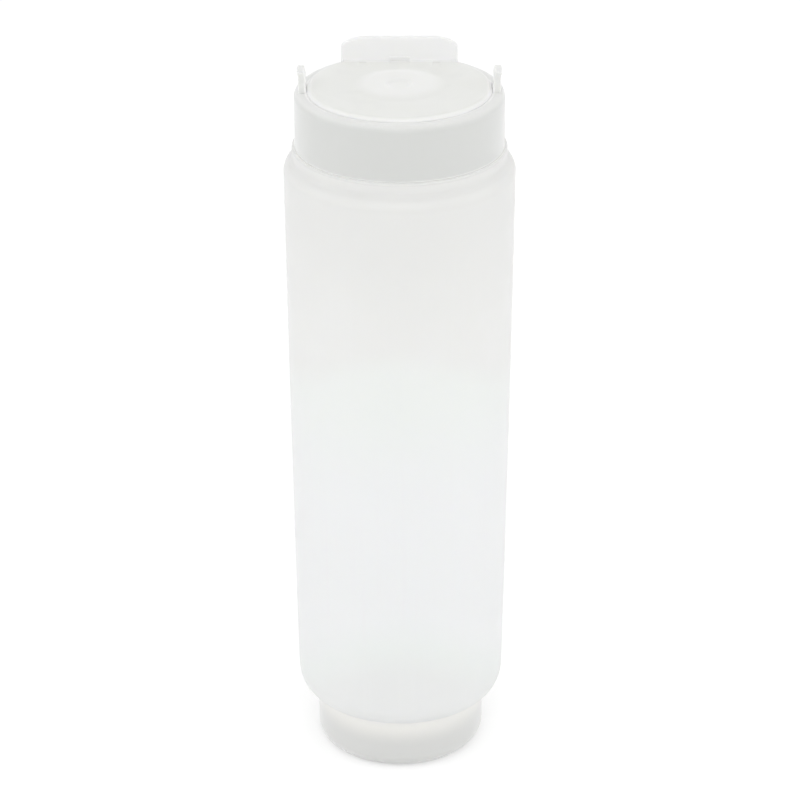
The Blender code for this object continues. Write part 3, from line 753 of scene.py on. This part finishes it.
def bottle_polyethylene():
    """Soft, hazy blow-moulded plastic with upright die lines, painted shade above its middle, on its
    shoulder, collar and foot, and painted light on its ledge.
    """
    look = settings().finish
    made = Finish(
        "bottle_polyethylene", look.bottle_lower, 0.42, look.bottle_clearness, look.bottle_depth,
        look.bottle_glow,
    )
    height = made.along("Z")
    # Painted shade: darker from the middle up, and again above a waist line that dips at the sides
    made.layer(made.spread(height, *SIDE_SHADE_TONES, 0.0, 0.6), look.upper_painted_shade)
    made.layer(made.spread(made.dipped(height, WAIST_SHADE_DIP), *WAIST_SHADE_TONES), look.upper_painted_shade)
    # Painted shade: darker above the refill cap, in an arch that dips at the sides
    made.layer(made.spread(made.dipped(height, FOOT_SHADE_DIP), *FOOT_SHADE_TONES, 1.0, 0.0), look.foot_painted_shade)
    streaks = made.grain(0.0022, stretch=(1.0, 1.0, 0.02), detail=3.0)
    made.layer(made.spread(streaks, 0.50, 0.75, 0.0, 0.15), look.bottle_streak)
    haze = made.grain(0.016, detail=3.0, warp=0.4)
    made.layer(made.spread(haze, 0.45, 0.75, 0.0, 0.15), look.scuff)
    patches = made.spread(made.grain(0.0012), 0.5, 0.7)
    made.wear(made.times(made.spread(height, *RUBBED_TONES), patches), 0.08, 0.12)
    # Painted shade on the shoulder, strongest in a band under the collar
    made.layer(made.spread(height, *UPPER_SHADE_TONES, 0.0, 0.72), look.shoulder_painted_shade)
    faded = made.spread(height, *SHOULDER_SHADE_FADE, 1.0, 0.6)
    made.layer(made.times(made.spread(height, *SHOULDER_SHADE_TONES), faded), look.shoulder_painted_shade)
    neck = settings().bottle.upper_neck
    beyond_neck = made.spread(made.axis_distance(), neck, neck + 0.0010)
    # Painted shade on the collar's rounding, outside the neck
    made.layer(made.times(made.spread(height, *COLLAR_SHADE_TONES), beyond_neck), look.collar)
    # Painted light on the ledge under the cap, against the crease's shade
    made.layer(made.times(made.spread(height, *LEDGE_LIGHT_TONES), beyond_neck), look.hem_painted_light)
    made.dull(made.spread(haze, 0.5, 0.8), 0.08)
    made.relief(streaks, 0.00001)
    made.relief(made.grain(0.0011, detail=1.0), 0.000006)
    return made.done()


def moulded_polypropylene(name, colour, clearness, glow):
    """Milky injection-moulded plastic with faint flow marks, before its wear is added."""
    look = settings().finish
    made = Finish(name, colour, 0.36, clearness, look.cap_depth, glow)
    marks = made.grain(0.010, stretch=(1.0, 1.0, 0.6), detail=3.0, warp=1.2)
    made.layer(made.spread(marks, 0.50, 0.72, 0.0, 0.12), look.flow)
    made.relief(made.grain(0.0007, detail=1.0), 0.000005)
    return made


def cap_polypropylene():
    """Plastic of the dispensing cap with painted light on its rim, lowest edge, seam and ear grooves,
    and rubbed along its rim.
    """
    look = settings().finish
    made = moulded_polypropylene(
        "cap_polypropylene", look.cap, look.cap_clearness, look.cap_glow,
    )
    height = made.along("Z")
    # Painted light: the rim's top band is paler than the skirt; the same band carries the rim's wear
    thin = made.spread(height, rim_height() - 0.0014, rim_height() - 0.0001)
    made.layer(thin, look.rim_painted_light)
    # Painted light along the skirt's lowest edge, against the crease's shade
    made.layer(made.spread(height, *HEM_LIGHT_TONES, 1.0, 0.0), look.hem_painted_light)
    # Painted light beside the seam, on the rim's side
    made.layer(made.seam_painted_light(lid_bore(), 1.0), look.seam_painted_light)
    # Painted light in the grooves beside the ears
    made.layer(made.groove_light_mask(), look.groove_painted_light)
    patches = made.spread(made.grain(0.0009), 0.48, 0.66)
    made.wear(made.times(thin, patches), 0.12, 0.15)
    return made.done()


def lid_polypropylene():
    """Plastic of the flip lid with painted light on its dome, seam edge, ear grooves and lever."""
    look = settings().finish
    sizes = settings().lid
    made = moulded_polypropylene(
        "lid_polypropylene", look.lid, look.lid_clearness, look.lid_glow,
    )
    # Painted light: the dome is paler than the flat lid
    middle = made.spread(made.axis_distance(), sizes.dome - sizes.dome_flank, sizes.dome, 1.0, 0.0)
    made.layer(middle, look.dome_painted_light)
    # Painted light beside the seam, on the lid's side
    made.layer(made.seam_painted_light(lid_radius(), -1.0), look.seam_painted_light)
    # Painted light in the grooves beside the ears
    made.layer(made.groove_light_mask(), look.groove_painted_light)
    # Painted light: the lever and what lies behind its front face are paler, for light through it
    front = lever_front()
    made.layer(made.spread(made.along("Y"), front - 0.0014, front - 0.0004), look.lever)
    edge = made.spread(made.along("Z"), LID_HIGH.z - 0.0014, LID_HIGH.z - 0.0002)
    patches = made.spread(made.grain(0.0008), 0.48, 0.66)
    made.wear(made.times(edge, patches), 0.3, 0.15)
    return made.done()


def refill_cap_polypropylene():
    """Plastic of the refill cap, painted lighter towards its top and darker towards its foot, and
    scuffed where it stands.
    """
    look = settings().finish
    made = moulded_polypropylene(
        "refill_cap_polypropylene", look.refill_cap, look.cap_clearness, look.cap_glow,
    )
    height = made.along("Z")
    # Painted light and shade: paler towards the top, darker towards the foot
    made.layer(made.spread(height, *REFILL_LIGHT_TONES), look.refill_top_painted_light)
    patches = made.spread(made.grain(0.0007, stretch=(1.0, 1.0, 3.0), detail=3.0), 0.42, 0.62)
    rubbed = made.times(made.spread(height, *STANDING_TONES, 1.0, 0.0), patches)
    made.wear(rubbed, 0.6, 0.25)
    made.relief(rubbed, 0.00003)
    return made.done()


def retainer_polypropylene():
    """Plain moulded plastic of the retainer."""
    look = settings().finish
    return moulded_polypropylene(
        "retainer_polypropylene", look.cap, look.cap_clearness, look.cap_glow,
    ).done()


def valve_silicone():
    """Frosted soft silicone."""
    look = settings().finish
    made = Finish("valve_silicone", look.valve, 0.55, look.valve_clearness, look.cap_depth)
    made.layer(made.spread(made.grain(0.003, detail=3.0), 0.4, 0.7, 0.0, 0.5), look.scuff)
    made.relief(made.grain(0.0004), 0.000008)
    return made.done()


def seal_foam():
    """White closed-cell foam."""
    look = settings().finish
    made = Finish("seal_foam", look.seal, 0.75, 0.0, 0.0003)
    pores = made.cells(0.0005)
    made.layer(made.spread(pores, 0.1, 0.6, 0.5, 0.0), look.flow)
    made.relief(pores, 0.00012)
    return made.done()


# Bottle

def shoulder_arcs(inset):
    """Upper and lower shoulder, from the side outwards, set in by a wall."""
    s = settings().bottle
    wall_top = COLLAR_TOP - s.collar_height - s.upper_shoulder
    wall_base = SHOULDER_LOW + s.lower_shoulder
    sweep = radians(67.0)  # where the arc would reach the collar
    stop = radians(50.0)  # where the collar's fillet takes over
    neck_fillet = 0.0008
    radius = (s.radius - s.collar_radius) / (1 - cos(sweep))
    height = s.upper_shoulder / sin(sweep)
    spans = (radius - inset, height - inset)
    upper = arc((s.radius - radius, wall_top), spans, 0.0, stop)
    fillet = s.lower_neck + neck_fillet
    spans = (s.base_radius - fillet - inset, s.lower_shoulder - inset)
    lower = [
        (fillet + spans[0] * cos(turn) ** (2 / s.fullness),
         wall_base - spans[1] * sin(turn) ** (2 / s.fullness))
        for turn in (pi / 2 * i / 16 for i in range(17))
    ]
    swell = [
        (upper[0][0] + (lower[0][0] - upper[0][0]) * part + s.bulge * sin(pi * part),
         wall_top + (wall_base - wall_top) * part)
        for part in (i / 12 for i in range(1, 12))
    ]
    return upper, swell + lower


def bottle_corners():
    """Section of the bottle's wall, outside first and then inside."""
    s = settings().bottle
    lip = 0.3 * s.neck_wall
    fold = s.collar_radius - s.wall
    roof_z = COLLAR_TOP - s.collar_roof
    fillet_rise, fillet, inner_fillet = 0.0009, 0.0011, 0.0006
    upper_bore = s.upper_neck - s.neck_wall
    lower_bore = s.lower_neck - s.neck_wall
    upper, lower = shoulder_arcs(0.0)
    upper_inside, lower_inside = shoulder_arcs(s.wall)
    return [
        (s.upper_neck, BOTTLE_HIGH.z, lip), (s.upper_neck, COLLAR_TOP, lip),
        (s.collar_radius, COLLAR_TOP, 0.6 * s.wall),
        (s.collar_radius, upper[-1][1] + fillet_rise, fillet), *upper[::-1], *lower[:-1],
        (*lower[-1], 0.2 * s.wall), (s.lower_neck, SHOULDER_LOW),
        (s.lower_neck, BOTTLE_LOW.z, lip), (lower_bore, BOTTLE_LOW.z, lip),
        (lower_bore, SHOULDER_LOW + s.wall, lip), *lower_inside[::-1], *upper_inside,
        (fold, COLLAR_TOP - s.collar_height, inner_fillet), (fold, roof_z, 0.4 * s.wall),
        (upper_bore, roof_z, lip), (upper_bore, BOTTLE_HIGH.z, lip),
    ]


def raise_parting_line(shape):
    """Lift the mould's parting line off the bottle's side, at -X and +X."""
    s = settings().bottle
    low = REFILL_HIGH.z + 0.5 * s.lower_shoulder
    high = COLLAR_TOP - 0.5 * s.collar_height
    least_radius = s.lower_neck + 0.5 * (s.base_radius - s.lower_neck)
    for vert in shape.verts:
        on_line = abs(vert.co.y) < 0.2 * s.parting_width and is_outer(vert)
        if on_line and vert.co.xy.length > least_radius and low < vert.co.z < high:
            vert.co.x += s.parting_height if vert.co.x > 0 else -s.parting_height


def is_outer(vert):
    """True if a vertex's faces look away from the axis."""
    outward = Vector((vert.co.x, vert.co.y, 0.0)).normalized()
    return vert.normal.dot(outward) > 0.2


class SQUEEZE_OT_bottle(bpy.types.Operator):
    """Build the bottle with its two threaded necks"""

    bl_idname = "squeeze_bottle.bottle"
    bl_label = "Bottle"

    def execute(self, context):
        s = settings().bottle
        shape = wire(bottle_corners())
        step = s.parting_width / s.radius
        sections = ((step, 1), (pi - 2 * step, TURN_STEPS // 2 - 2), (step, 1)) * 2
        last = shape.verts[:] + shape.edges[:]
        for sweep, steps in sections:
            last = bmesh.ops.spin(
                shape, geom=last, cent=(0, 0, 0), axis=(0, 0, 1), angle=sweep, steps=steps,
                use_merge=False,
            )["geom_last"]
        bmesh.ops.remove_doubles(shape, verts=shape.verts, dist=MERGE)
        bmesh.ops.recalc_face_normals(shape, faces=shape.faces)
        raise_parting_line(shape)
        upper_z = thread_height(COLLAR_TOP, UPPER_RUN_IN)
        lower_z = thread_height(BOTTLE_LOW.z, LOWER_RUN_IN)
        shape = combined(shape, [
            ("UNION", thread_ridge(s.upper_neck, 1, upper_z, UPPER_TURN)),
            ("UNION", thread_ridge(s.lower_neck, 1, lower_z, LOWER_TURN)),
        ])
        finish_piece(
            "bottle_moulding", shape, bottle_polyethylene(), "bottle", "bottle_body",
        )
        return {"FINISHED"}


# Dispensing cap

def cap_corners():
    """Section of the dispensing cap: skirt, rim, deck, nozzle and valve pocket."""
    s = settings().cap
    rim_z = rim_height()
    deck_z = rim_z - s.recess
    ceiling_z = deck_z - s.deck
    nozzle_z = deck_z + s.nozzle_height
    bore = CAP_HIGH.x - s.wall
    pocket = VALVE_HIGH.x + SEAT_GAP
    lip_z = RETAINER_LOW.z - SEAT_GAP
    pocket_z = lip_z - s.snap_height
    return [
        (bore, CAP_LOW.z, SMALL), (CAP_HIGH.x, CAP_LOW.z, CRISP), (CAP_HIGH.x, rim_z, s.edge),
        (lid_bore(), rim_z, CRISP / 2), (lid_bore(), deck_z, SMALL),
        (s.nozzle, deck_z, SMALL), (s.nozzle, nozzle_z, SMALL),
        (s.nozzle - s.nozzle_wall, nozzle_z, SMALL), (s.nozzle - s.nozzle_wall, deck_z, SMALL),
        (s.orifice, deck_z, SMALL), (s.orifice, ceiling_z, FINE),
        (pocket, ceiling_z), (pocket, lip_z), (pocket - s.snap_lip, lip_z, CRISP),
        (pocket - s.snap_lip, pocket_z, FINE), (pocket + s.pocket_wall, pocket_z, SMALL),
        (pocket + s.pocket_wall, ceiling_z, SMALL), (bore, ceiling_z, 2 * SMALL),
    ]


def ear(side):
    """An upright ear on the rim, with a sloped inner face and a small lip."""
    s = settings().cap
    rim_z = rim_height()
    outer = CAP_HIGH.x - s.ear_inset
    inner = outer - s.ear_thickness
    foot = lid_bore() + CRISP / 2
    slope_low, slope_high = rim_z + 0.0010, rim_z + 0.0018
    half = s.ear_width / 2 / outer
    lip_z = CAP_HIGH.z - s.ear_lip_height
    tip_z = CAP_HIGH.z + s.ear_rise
    catch_z = tip_z - s.ear_catch_drop
    shape = turned([
        (foot, rim_z - OVERRUN), (outer, rim_z - OVERRUN), (outer, lip_z, FINE),
        (outer + s.ear_lip, lip_z + s.ear_lip, CRISP), (outer + s.ear_lip, tip_z, FINE),
        (inner + s.ear_lead_in, tip_z, SMALL), (inner - s.ear_catch, catch_z, SOFT),
        (inner - s.ear_catch, catch_z - 2 * s.ear_catch, FINE),
        (inner, catch_z - 4 * s.ear_catch, FINE), (inner, slope_high, SOFT), (foot, slope_low),
    ], steps=12, start=(0.0 if side > 0 else pi) - half, sweep=2 * half)
    ends = [face for face in shape.faces if len(face.verts) > 4]
    soften(shape, {edge for face in ends for edge in face.edges}, FINE)
    return shape


def across(shape, y):
    """Turn a prism so that it runs along +X, with its outline's origin at a given y."""
    matrix = Matrix(((0, 1, 0), (1, 0, 0), (0, 0, 1)))
    bmesh.ops.transform(shape, verts=shape.verts, matrix=matrix.to_4x4())
    bmesh.ops.translate(shape, verts=shape.verts, vec=(0.0, y, 0.0))
    bmesh.ops.recalc_face_normals(shape, faces=shape.faces)
    return shape


def lug(side):
    """A round-topped hinge lug that stands in the lid's pocket."""
    s = settings().cap
    root_z = rim_height() - s.recess - OVERRUN
    top = arc((0.0, HINGE.z), (s.lug_radius, s.lug_radius), 0.0, pi, 24)
    corners = [(s.lug_radius, root_z), *top, (-s.lug_radius, root_z)]
    shape = across(prism(corners, s.lug_width, FINE), HINGE.y)
    return placed(shape, 0.0, (lug_face() if side > 0 else -lug_face() - s.lug_width, 0.0, 0.0))


class SQUEEZE_OT_dispensing_cap(bpy.types.Operator):
    """Build the wide screw cap with its ears, nozzle and hinge lugs"""

    bl_idname = "squeeze_bottle.dispensing_cap"
    bl_label = "Dispensing cap"

    def execute(self, context):
        s = settings().cap
        lid = settings().lid
        rim_z = rim_height()
        face = lug_face()
        back = HINGE.y + lid.barrel + RUN_GAP
        bay = box((-face, lever_front(), rim_z - s.recess), (face, back, rim_z + OVERRUN))
        hole = lid.trunnion + SEAT_GAP
        reach = face + lid.trunnion_length
        neck_z = thread_height(COLLAR_TOP, UPPER_RUN_IN)
        thread_z = neck_z - thread_offset() + settings().thread.pitch / 4
        shape = combined(turned(cap_corners()), [
            ("DIFFERENCE", bay),
            ("UNION", ear(-1)), ("UNION", ear(1)),
            ("UNION", lug(-1)), ("UNION", lug(1)),
            ("DIFFERENCE", rod(hole, -reach, 0.0)), ("DIFFERENCE", rod(hole, 0.0, reach)),
            ("UNION", thread_ridge(CAP_HIGH.x - s.wall, -1, thread_z, UPPER_CAP_TURN)),
        ])
        finish_piece(
            "dispensing_cap_moulding", shape, cap_polypropylene(), "dispensing_closure",
            "dispensing_cap",
        )
        return {"FINISHED"}


# Flip lid

def dome_corners(inner, base_z, steps=8):
    """Corners up the low dome's side and across its top to an inner radius."""
    s = settings().lid
    side = [(s.dome - s.dome_flank * i / steps, i / steps) for i in range(steps + 1)]
    points = [(radius, climb) for radius, climb in side if radius > inner]
    points.append((inner, min(1.0, (s.dome - inner) / s.dome_flank)))
    return [(radius, base_z + s.dome_height * (1 - cos(pi * climb)) / 2) for radius, climb in points]


def lid_disc(steps=10):
    """The lid as a solid disc with its dome and the dimple in it."""
    s = settings().lid
    dome_z = lid_top() + s.dome_height
    corners = [(0.0, LID_LOW.z), (lid_radius(), LID_LOW.z, SMALL), (lid_radius(), lid_top(), s.edge)]
    corners += dome_corners(s.dimple, lid_top())
    for i in range(1, steps + 1):
        sink = (1 - cos(pi * i / steps)) / 2
        corners.append((s.dimple - s.dimple_flank * i / steps, dome_z - s.dimple_depth * sink))
    return turned(corners + [(0.0, dome_z - s.dimple_depth)])


def lid_hollow():
    """Space under the lid, round its sealing ring and cut short in front of the lever."""
    s = settings().lid
    under_z = lid_top() - s.plate
    bore = lid_radius() - s.wall
    ring_z = LID_LOW.z + s.plug_lift
    corners = [(0.0, LID_LOW.z - OVERRUN), (bore, LID_LOW.z - OVERRUN), (bore, under_z, SOFT)]
    corners += dome_corners(s.plug, under_z)
    corners += [(s.plug, ring_z, SMALL), (s.plug - s.plug_wall, ring_z, SMALL)]
    corners += [(s.plug - s.plug_wall, under_z + s.dome_height), (0.0, under_z + s.dome_height)]
    shape = turned(corners)
    bmesh.ops.bisect_plane(
        shape, geom=shape.verts[:] + shape.edges[:] + shape.faces[:],
        plane_co=(0, HINGE.y - s.lever_reach - s.wall, 0), plane_no=(0, 1, 0), clear_outer=True,
    )
    close_ends(shape)
    bmesh.ops.recalc_face_normals(shape, faces=shape.faces)
    return shape


def lever():
    """The flat thumb lever with wide rounded corners."""
    s = settings().lid
    foot_z = rim_height() + SEAT_GAP
    foot_edge = 0.0005
    clearance = 0.00004  # in front of the plane where the lid ends
    half = s.lever_width / 2
    centre = (half - s.corner_width, LID_HIGH.z - s.corner_height)
    right = arc(centre, (s.corner_width, s.corner_height), 0.0, pi / 2, 10)
    left = [(-x, z) for x, z in right[::-1]]
    corners = [(half, foot_z, foot_edge), *right, *left, (-half, foot_z, foot_edge)]
    shape = prism(corners, s.lever_thickness - clearance, SOFT)
    return placed(shape, 0.0, (0.0, lever_front(), 0.0))


def lever_fillet():
    """A hollow rounding along the foot of the lever's front face."""
    s = settings().lid
    size = s.lever_fillet
    top_z = lid_top()
    short = 0.001  # at each end
    corners = arc((-size, top_z + size), (size, size), -pi / 2, 0.0, 5)
    corners += [(size / 2, top_z + size), (size / 2, top_z - size / 2), (-size, top_z - size / 2)]
    shape = across(prism(corners, s.lever_width - 2 * short), lever_front())
    return placed(shape, 0.0, (short - s.lever_width / 2, 0.0, 0.0))


def hinge_barrel():
    """The hinge barrel with the web that ties it to the lid."""
    s = settings().lid
    web_y = -s.lever_reach - s.wall / 2
    round_end = arc((0.0, HINGE.z), (s.barrel, s.barrel), -pi / 2, pi / 2, 24)
    corners = [(web_y, HINGE.z - s.barrel), *round_end, (web_y, HINGE.z + s.web_rise)]
    shape = across(prism(corners, s.barrel_length, FINE), HINGE.y)
    return placed(shape, 0.0, (-s.barrel_length / 2, 0.0, 0.0))


class SQUEEZE_OT_flip_lid(bpy.types.Operator):
    """Build the flip lid with its dome, sealing ring, thumb lever and hinge"""

    bl_idname = "squeeze_bottle.flip_lid"
    bl_label = "Flip lid"

    def execute(self, context):
        s = settings().lid
        top_z = lid_top()
        back = HINGE.y - s.lever_reach
        front = lever_front()
        reach = lid_radius() + OVERRUN
        half = s.notch_width / 2
        notch_z = top_z + s.notch_height
        brow_z = notch_z + s.brow_lift
        pin = s.barrel_length / 2 + s.trunnion_length
        notch = box(
            (-half, front - s.notch_reach, top_z - s.notch_sink),
            (half, front + s.notch_depth, notch_z), FINE,
        )
        brow = box((-half, front - s.brow, brow_z), (half, front + s.brow, brow_z + s.brow), FINE)
        steps = [
            ("DIFFERENCE", box((-reach, back, LID_LOW.z - OVERRUN), (reach, reach, LID_HIGH.z))),
            ("DIFFERENCE", lid_hollow()),
            ("UNION", lever()), ("UNION", lever_fillet()), ("UNION", hinge_barrel()),
            ("UNION", rod(s.trunnion, -pin, pin, FINE)),
            ("DIFFERENCE", notch), ("UNION", brow),
        ]
        for side in (-1, 1):
            x, y = side * s.sink_spread / 2, front - s.sink_offset
            steps.append(("DIFFERENCE", box(
                (x - s.sink_width / 2, y - s.sink_length / 2, top_z - s.sink_depth),
                (x + s.sink_width / 2, y + s.sink_length / 2, top_z + OVERRUN), 2 * SOFT,
            )))
        shape = combined(lid_disc(), steps)
        finish_piece(
            "flip_lid_moulding", shape, lid_polypropylene(), "lid", "flip_lid",
        )
        return {"FINISHED"}


# Valve and seals

class SQUEEZE_OT_valve(bpy.types.Operator):
    """Build the slit silicone valve and the ring that holds it"""

    bl_idname = "squeeze_bottle.valve"
    bl_label = "Valve and retainer"

    def execute(self, context):
        s = settings().valve
        head_z = VALVE_HIGH.z
        flange_z = VALVE_LOW.z + s.flange
        shelf = s.radius - s.edge
        inner = s.radius - s.wall
        dish = arc((0.0, head_z), (shelf, s.dish), -pi / 2, 0.0, 14)
        under = arc((0.0, head_z - s.wall), (inner, s.dish), 0.0, -pi / 2, 14)
        corners = [(0.0, dish[0][1]), *dish[1:-1], (*dish[-1], 0.4 * s.edge)]
        corners += [(s.radius, head_z - s.edge, 0.4 * s.edge), (s.radius, flange_z, 0.4 * s.edge)]
        corners += [(VALVE_HIGH.x, flange_z, 0.6 * s.edge), (VALVE_HIGH.x, VALVE_LOW.z, 0.6 * s.edge)]
        corners += [(inner, VALVE_LOW.z), *under[:-1], (0.0, under[-1][1])]
        half, thin = s.slit_length / 2, s.slit_width / 2
        low_z = head_z - s.dish - s.slit_depth
        slits = [
            ("DIFFERENCE", placed(box((-half, -thin, low_z), (half, thin, head_z)), radians(turn)))
            for turn in (45.0, 135.0)
        ]
        finish_piece(
            "valve_moulding", combined(turned(corners, SMALL_STEPS), slits), valve_silicone(),
            "dispensing_closure", "dispensing_valve",
        )
        low, high = RETAINER_LOW.z, RETAINER_HIGH.z
        ring = [
            (s.retainer_bore, low, 2 * SOFT), (RETAINER_HIGH.x, low, SMALL),
            (RETAINER_HIGH.x, high, SMALL), (s.retainer_bore, high, SMALL),
        ]
        finish_piece(
            "retainer_ring", turned(ring, SMALL_STEPS), retainer_polypropylene(),
            "dispensing_closure", "valve_retainer",
        )
        return {"FINISHED"}


class SQUEEZE_OT_seals(bpy.types.Operator):
    """Build the foam seals of both caps"""

    bl_idname = "squeeze_bottle.seals"
    bl_label = "Seals"

    def execute(self, context):
        s = settings().bottle
        foam = seal_foam()
        overlap = 0.0006  # inwards past the neck's wall
        for name, body, node, low, high, neck in (
            ("upper_seal", "dispensing_seal", "dispensing_cap_seal", UPPER_SEAL_LOW,
             UPPER_SEAL_HIGH, s.upper_neck),
            ("lower_seal", "refill_seal", "refill_cap_seal", LOWER_SEAL_LOW, LOWER_SEAL_HIGH,
             s.lower_neck),
        ):
            bore = neck - s.neck_wall - overlap
            ring = [
                (bore, low.z, SMALL), (high.x, low.z, SMALL), (high.x, high.z, SMALL),
                (bore, high.z, SMALL),
            ]
            finish_piece(name, turned(ring), foam, body, node)
        return {"FINISHED"}


# Refill cap

class SQUEEZE_OT_refill_cap(bpy.types.Operator):
    """Build the narrow screw cap that the bottle stands on"""

    bl_idname = "squeeze_bottle.refill_cap"
    bl_label = "Refill cap"

    def execute(self, context):
        s = settings().refill
        outer = REFILL_HIGH.x + s.swell
        bore = outer - s.wall
        top = REFILL_HIGH.z
        floor_z = s.recess_depth + s.floor
        ledge = bore - s.seat_width
        gate_z = s.recess_depth - s.gate_height
        corners = [
            (0.0, gate_z), (s.gate, gate_z, CRISP), (s.gate, s.recess_depth),
            (s.recess - s.recess_depth, s.recess_depth, SMALL), (s.recess, 0.0, SMALL),
            *arc((outer - s.edge, s.edge), (s.edge, s.edge), -pi / 2, 0.0, 16),
            (outer, top, SOFT), (bore, top, SOFT), (bore, s.seat_height, SOFT),
            (ledge, s.seat_height, SMALL), (ledge, floor_z, SOFT), (0.0, floor_z),
        ]
        thread_z = thread_height(BOTTLE_LOW.z, LOWER_RUN_IN) + thread_offset()
        ridge = thread_ridge(bore, -1, thread_z, LOWER_TURN)
        shape = combined(turned(corners), [("UNION", ridge)])
        finish_piece(
            "refill_cap_moulding", shape, refill_cap_polypropylene(), "refill_closure",
            "refill_cap",
        )
        return {"FINISHED"}


# Stage

def backdrop_world():
    """A white view behind the object and softer light on it."""
    world = bpy.data.worlds.new("studio")
    world.use_nodes = True
    tree = world.node_tree
    seen = tree.nodes["Background"]
    set_inputs(tree, seen, {"Color": WHITE, "Strength": 1.0})
    light = add_node(tree, "ShaderNodeBackground", {
        "Color": WHITE, "Strength": settings().stage.ambient,
    })
    mix = add_node(tree, "ShaderNodeMixShader", {
        0: looked_at(tree), 1: light.outputs[0], 2: seen.outputs[0],
    })
    set_inputs(tree, tree.nodes["World Output"], {"Surface": mix.outputs[0]})
    bpy.context.scene.world = world


def looked_at(tree):
    """1 for rays that the camera sees, straight on, mirrored or through plastic."""
    path = add_node(tree, "ShaderNodeLightPath")
    seen = path.outputs["Is Camera Ray"]
    for kind in ("Is Glossy Ray", "Is Transmission Ray"):
        either = {0: seen, 1: path.outputs[kind]}
        seen = add_node(tree, "ShaderNodeMath", either, operation="MAXIMUM").outputs[0]
    return seen


def floor_material():
    """Pale floor that looks white and keeps the object's shadow."""
    stage = settings().stage
    material = bpy.data.materials.new("studio_floor")
    material.use_nodes = True
    tree = material.node_tree
    lifted = {0: looked_at(tree), 1: stage.floor_lift}
    lift = add_node(tree, "ShaderNodeMath", lifted, operation="MULTIPLY")
    set_inputs(tree, tree.nodes["Principled BSDF"], {
        "Base Color": (*stage.floor, 1.0), "Roughness": 0.9, "Specular IOR Level": 0.0,
        "Emission Color": WHITE, "Emission Strength": lift.outputs[0],
    })
    return material


def area_light(name, power, size, place):
    """A soft square light that faces the middle of the bottle."""
    data = bpy.data.lights.new(name, "AREA")
    data.energy = power
    data.size = size
    light = bpy.data.objects.new(name, data)
    light.location = place
    middle = Vector((0.0, 0.0, 0.13))
    light.rotation_euler = (middle - light.location).to_track_quat("-Z", "Y").to_euler()
    bpy.context.scene.collection.objects.link(light)


class SQUEEZE_OT_stage(bpy.types.Operator):
    """Build the floor, the lights and the camera"""

    bl_idname = "squeeze_bottle.stage"
    bl_label = "Stage"

    def execute(self, context):
        stage = settings().stage
        scene = bpy.context.scene
        scene.view_settings.view_transform = "Standard"
        backdrop_world()
        disc = bmesh.new()
        bmesh.ops.create_circle(
            disc, cap_ends=True, radius=stage.floor_radius, segments=SMALL_STEPS,
        )
        floor = mesh_object("studio_floor", disc)
        floor.data.materials.append(floor_material())
        for name, x in (("left_light", -1.0), ("right_light", 1.0)):
            area_light(name, stage.side_power, 0.8, (x, -0.15, 0.45))
        area_light("front_light", stage.front_power, 0.9, (0.0, -1.3, 0.75))
        data = bpy.data.cameras.new("camera")
        data.lens = stage.lens
        data.sensor_width = SENSOR_WIDTH
        camera = bpy.data.objects.new("camera", data)
        aim = Vector((0.0, cos(stage.elevation), -sin(stage.elevation)))
        camera.location = Vector((0.0, 0.0, stage.target_height)) - aim * stage.distance
        turn = aim.to_track_quat("-Z", "Y").to_matrix() @ Matrix.Rotation(stage.roll, 3, "Z")
        camera.rotation_euler = turn.to_euler()
        scene.collection.objects.link(camera)
        scene.camera = camera
        return {"FINISHED"}


class SQUEEZE_PT_panel(bpy.types.Panel):
    """Sizes, finishes and build buttons of the squeeze bottle"""

    bl_label = "Squeeze bottle"
    bl_idname = "SQUEEZE_PT_panel"
    bl_space_type = "VIEW_3D"
    bl_region_type = "UI"
    bl_category = "Squeeze bottle"

    def draw(self, context):
        for operator in OPERATORS:
            self.layout.operator(operator.bl_idname)
        for name in SqueezeBottleSettings.__annotations__:
            group = getattr(context.scene.squeeze_bottle, name)
            column = self.layout.box().column()
            column.label(text=name.capitalize())
            for key in group.__annotations__:
                column.prop(group, key)


OPERATORS = (
    SQUEEZE_OT_stage, SQUEEZE_OT_bottle, SQUEEZE_OT_dispensing_cap, SQUEEZE_OT_flip_lid,
    SQUEEZE_OT_valve, SQUEEZE_OT_seals, SQUEEZE_OT_refill_cap,
)
CLASSES = (
    BottleSizes, ThreadSizes, CapSizes, LidSizes, ValveSizes, RefillCapSizes, Finishes,
    StageSettings, SqueezeBottleSettings, *OPERATORS, SQUEEZE_PT_panel,
)


def register():
    for item in CLASSES:
        bpy.utils.register_class(item)
    bpy.types.Scene.squeeze_bottle = bpy.props.PointerProperty(type=SqueezeBottleSettings)


def unregister():
    del bpy.types.Scene.squeeze_bottle
    for item in reversed(CLASSES):
        bpy.utils.unregister_class(item)


def main():
    register()
    bpy.ops.squeeze_bottle.stage()
    bpy.ops.squeeze_bottle.bottle()
    bpy.ops.squeeze_bottle.dispensing_cap()
    bpy.ops.squeeze_bottle.flip_lid()
    bpy.ops.squeeze_bottle.valve()
    bpy.ops.squeeze_bottle.seals()
    bpy.ops.squeeze_bottle.refill_cap()


if __name__ == "__main__":
    main()
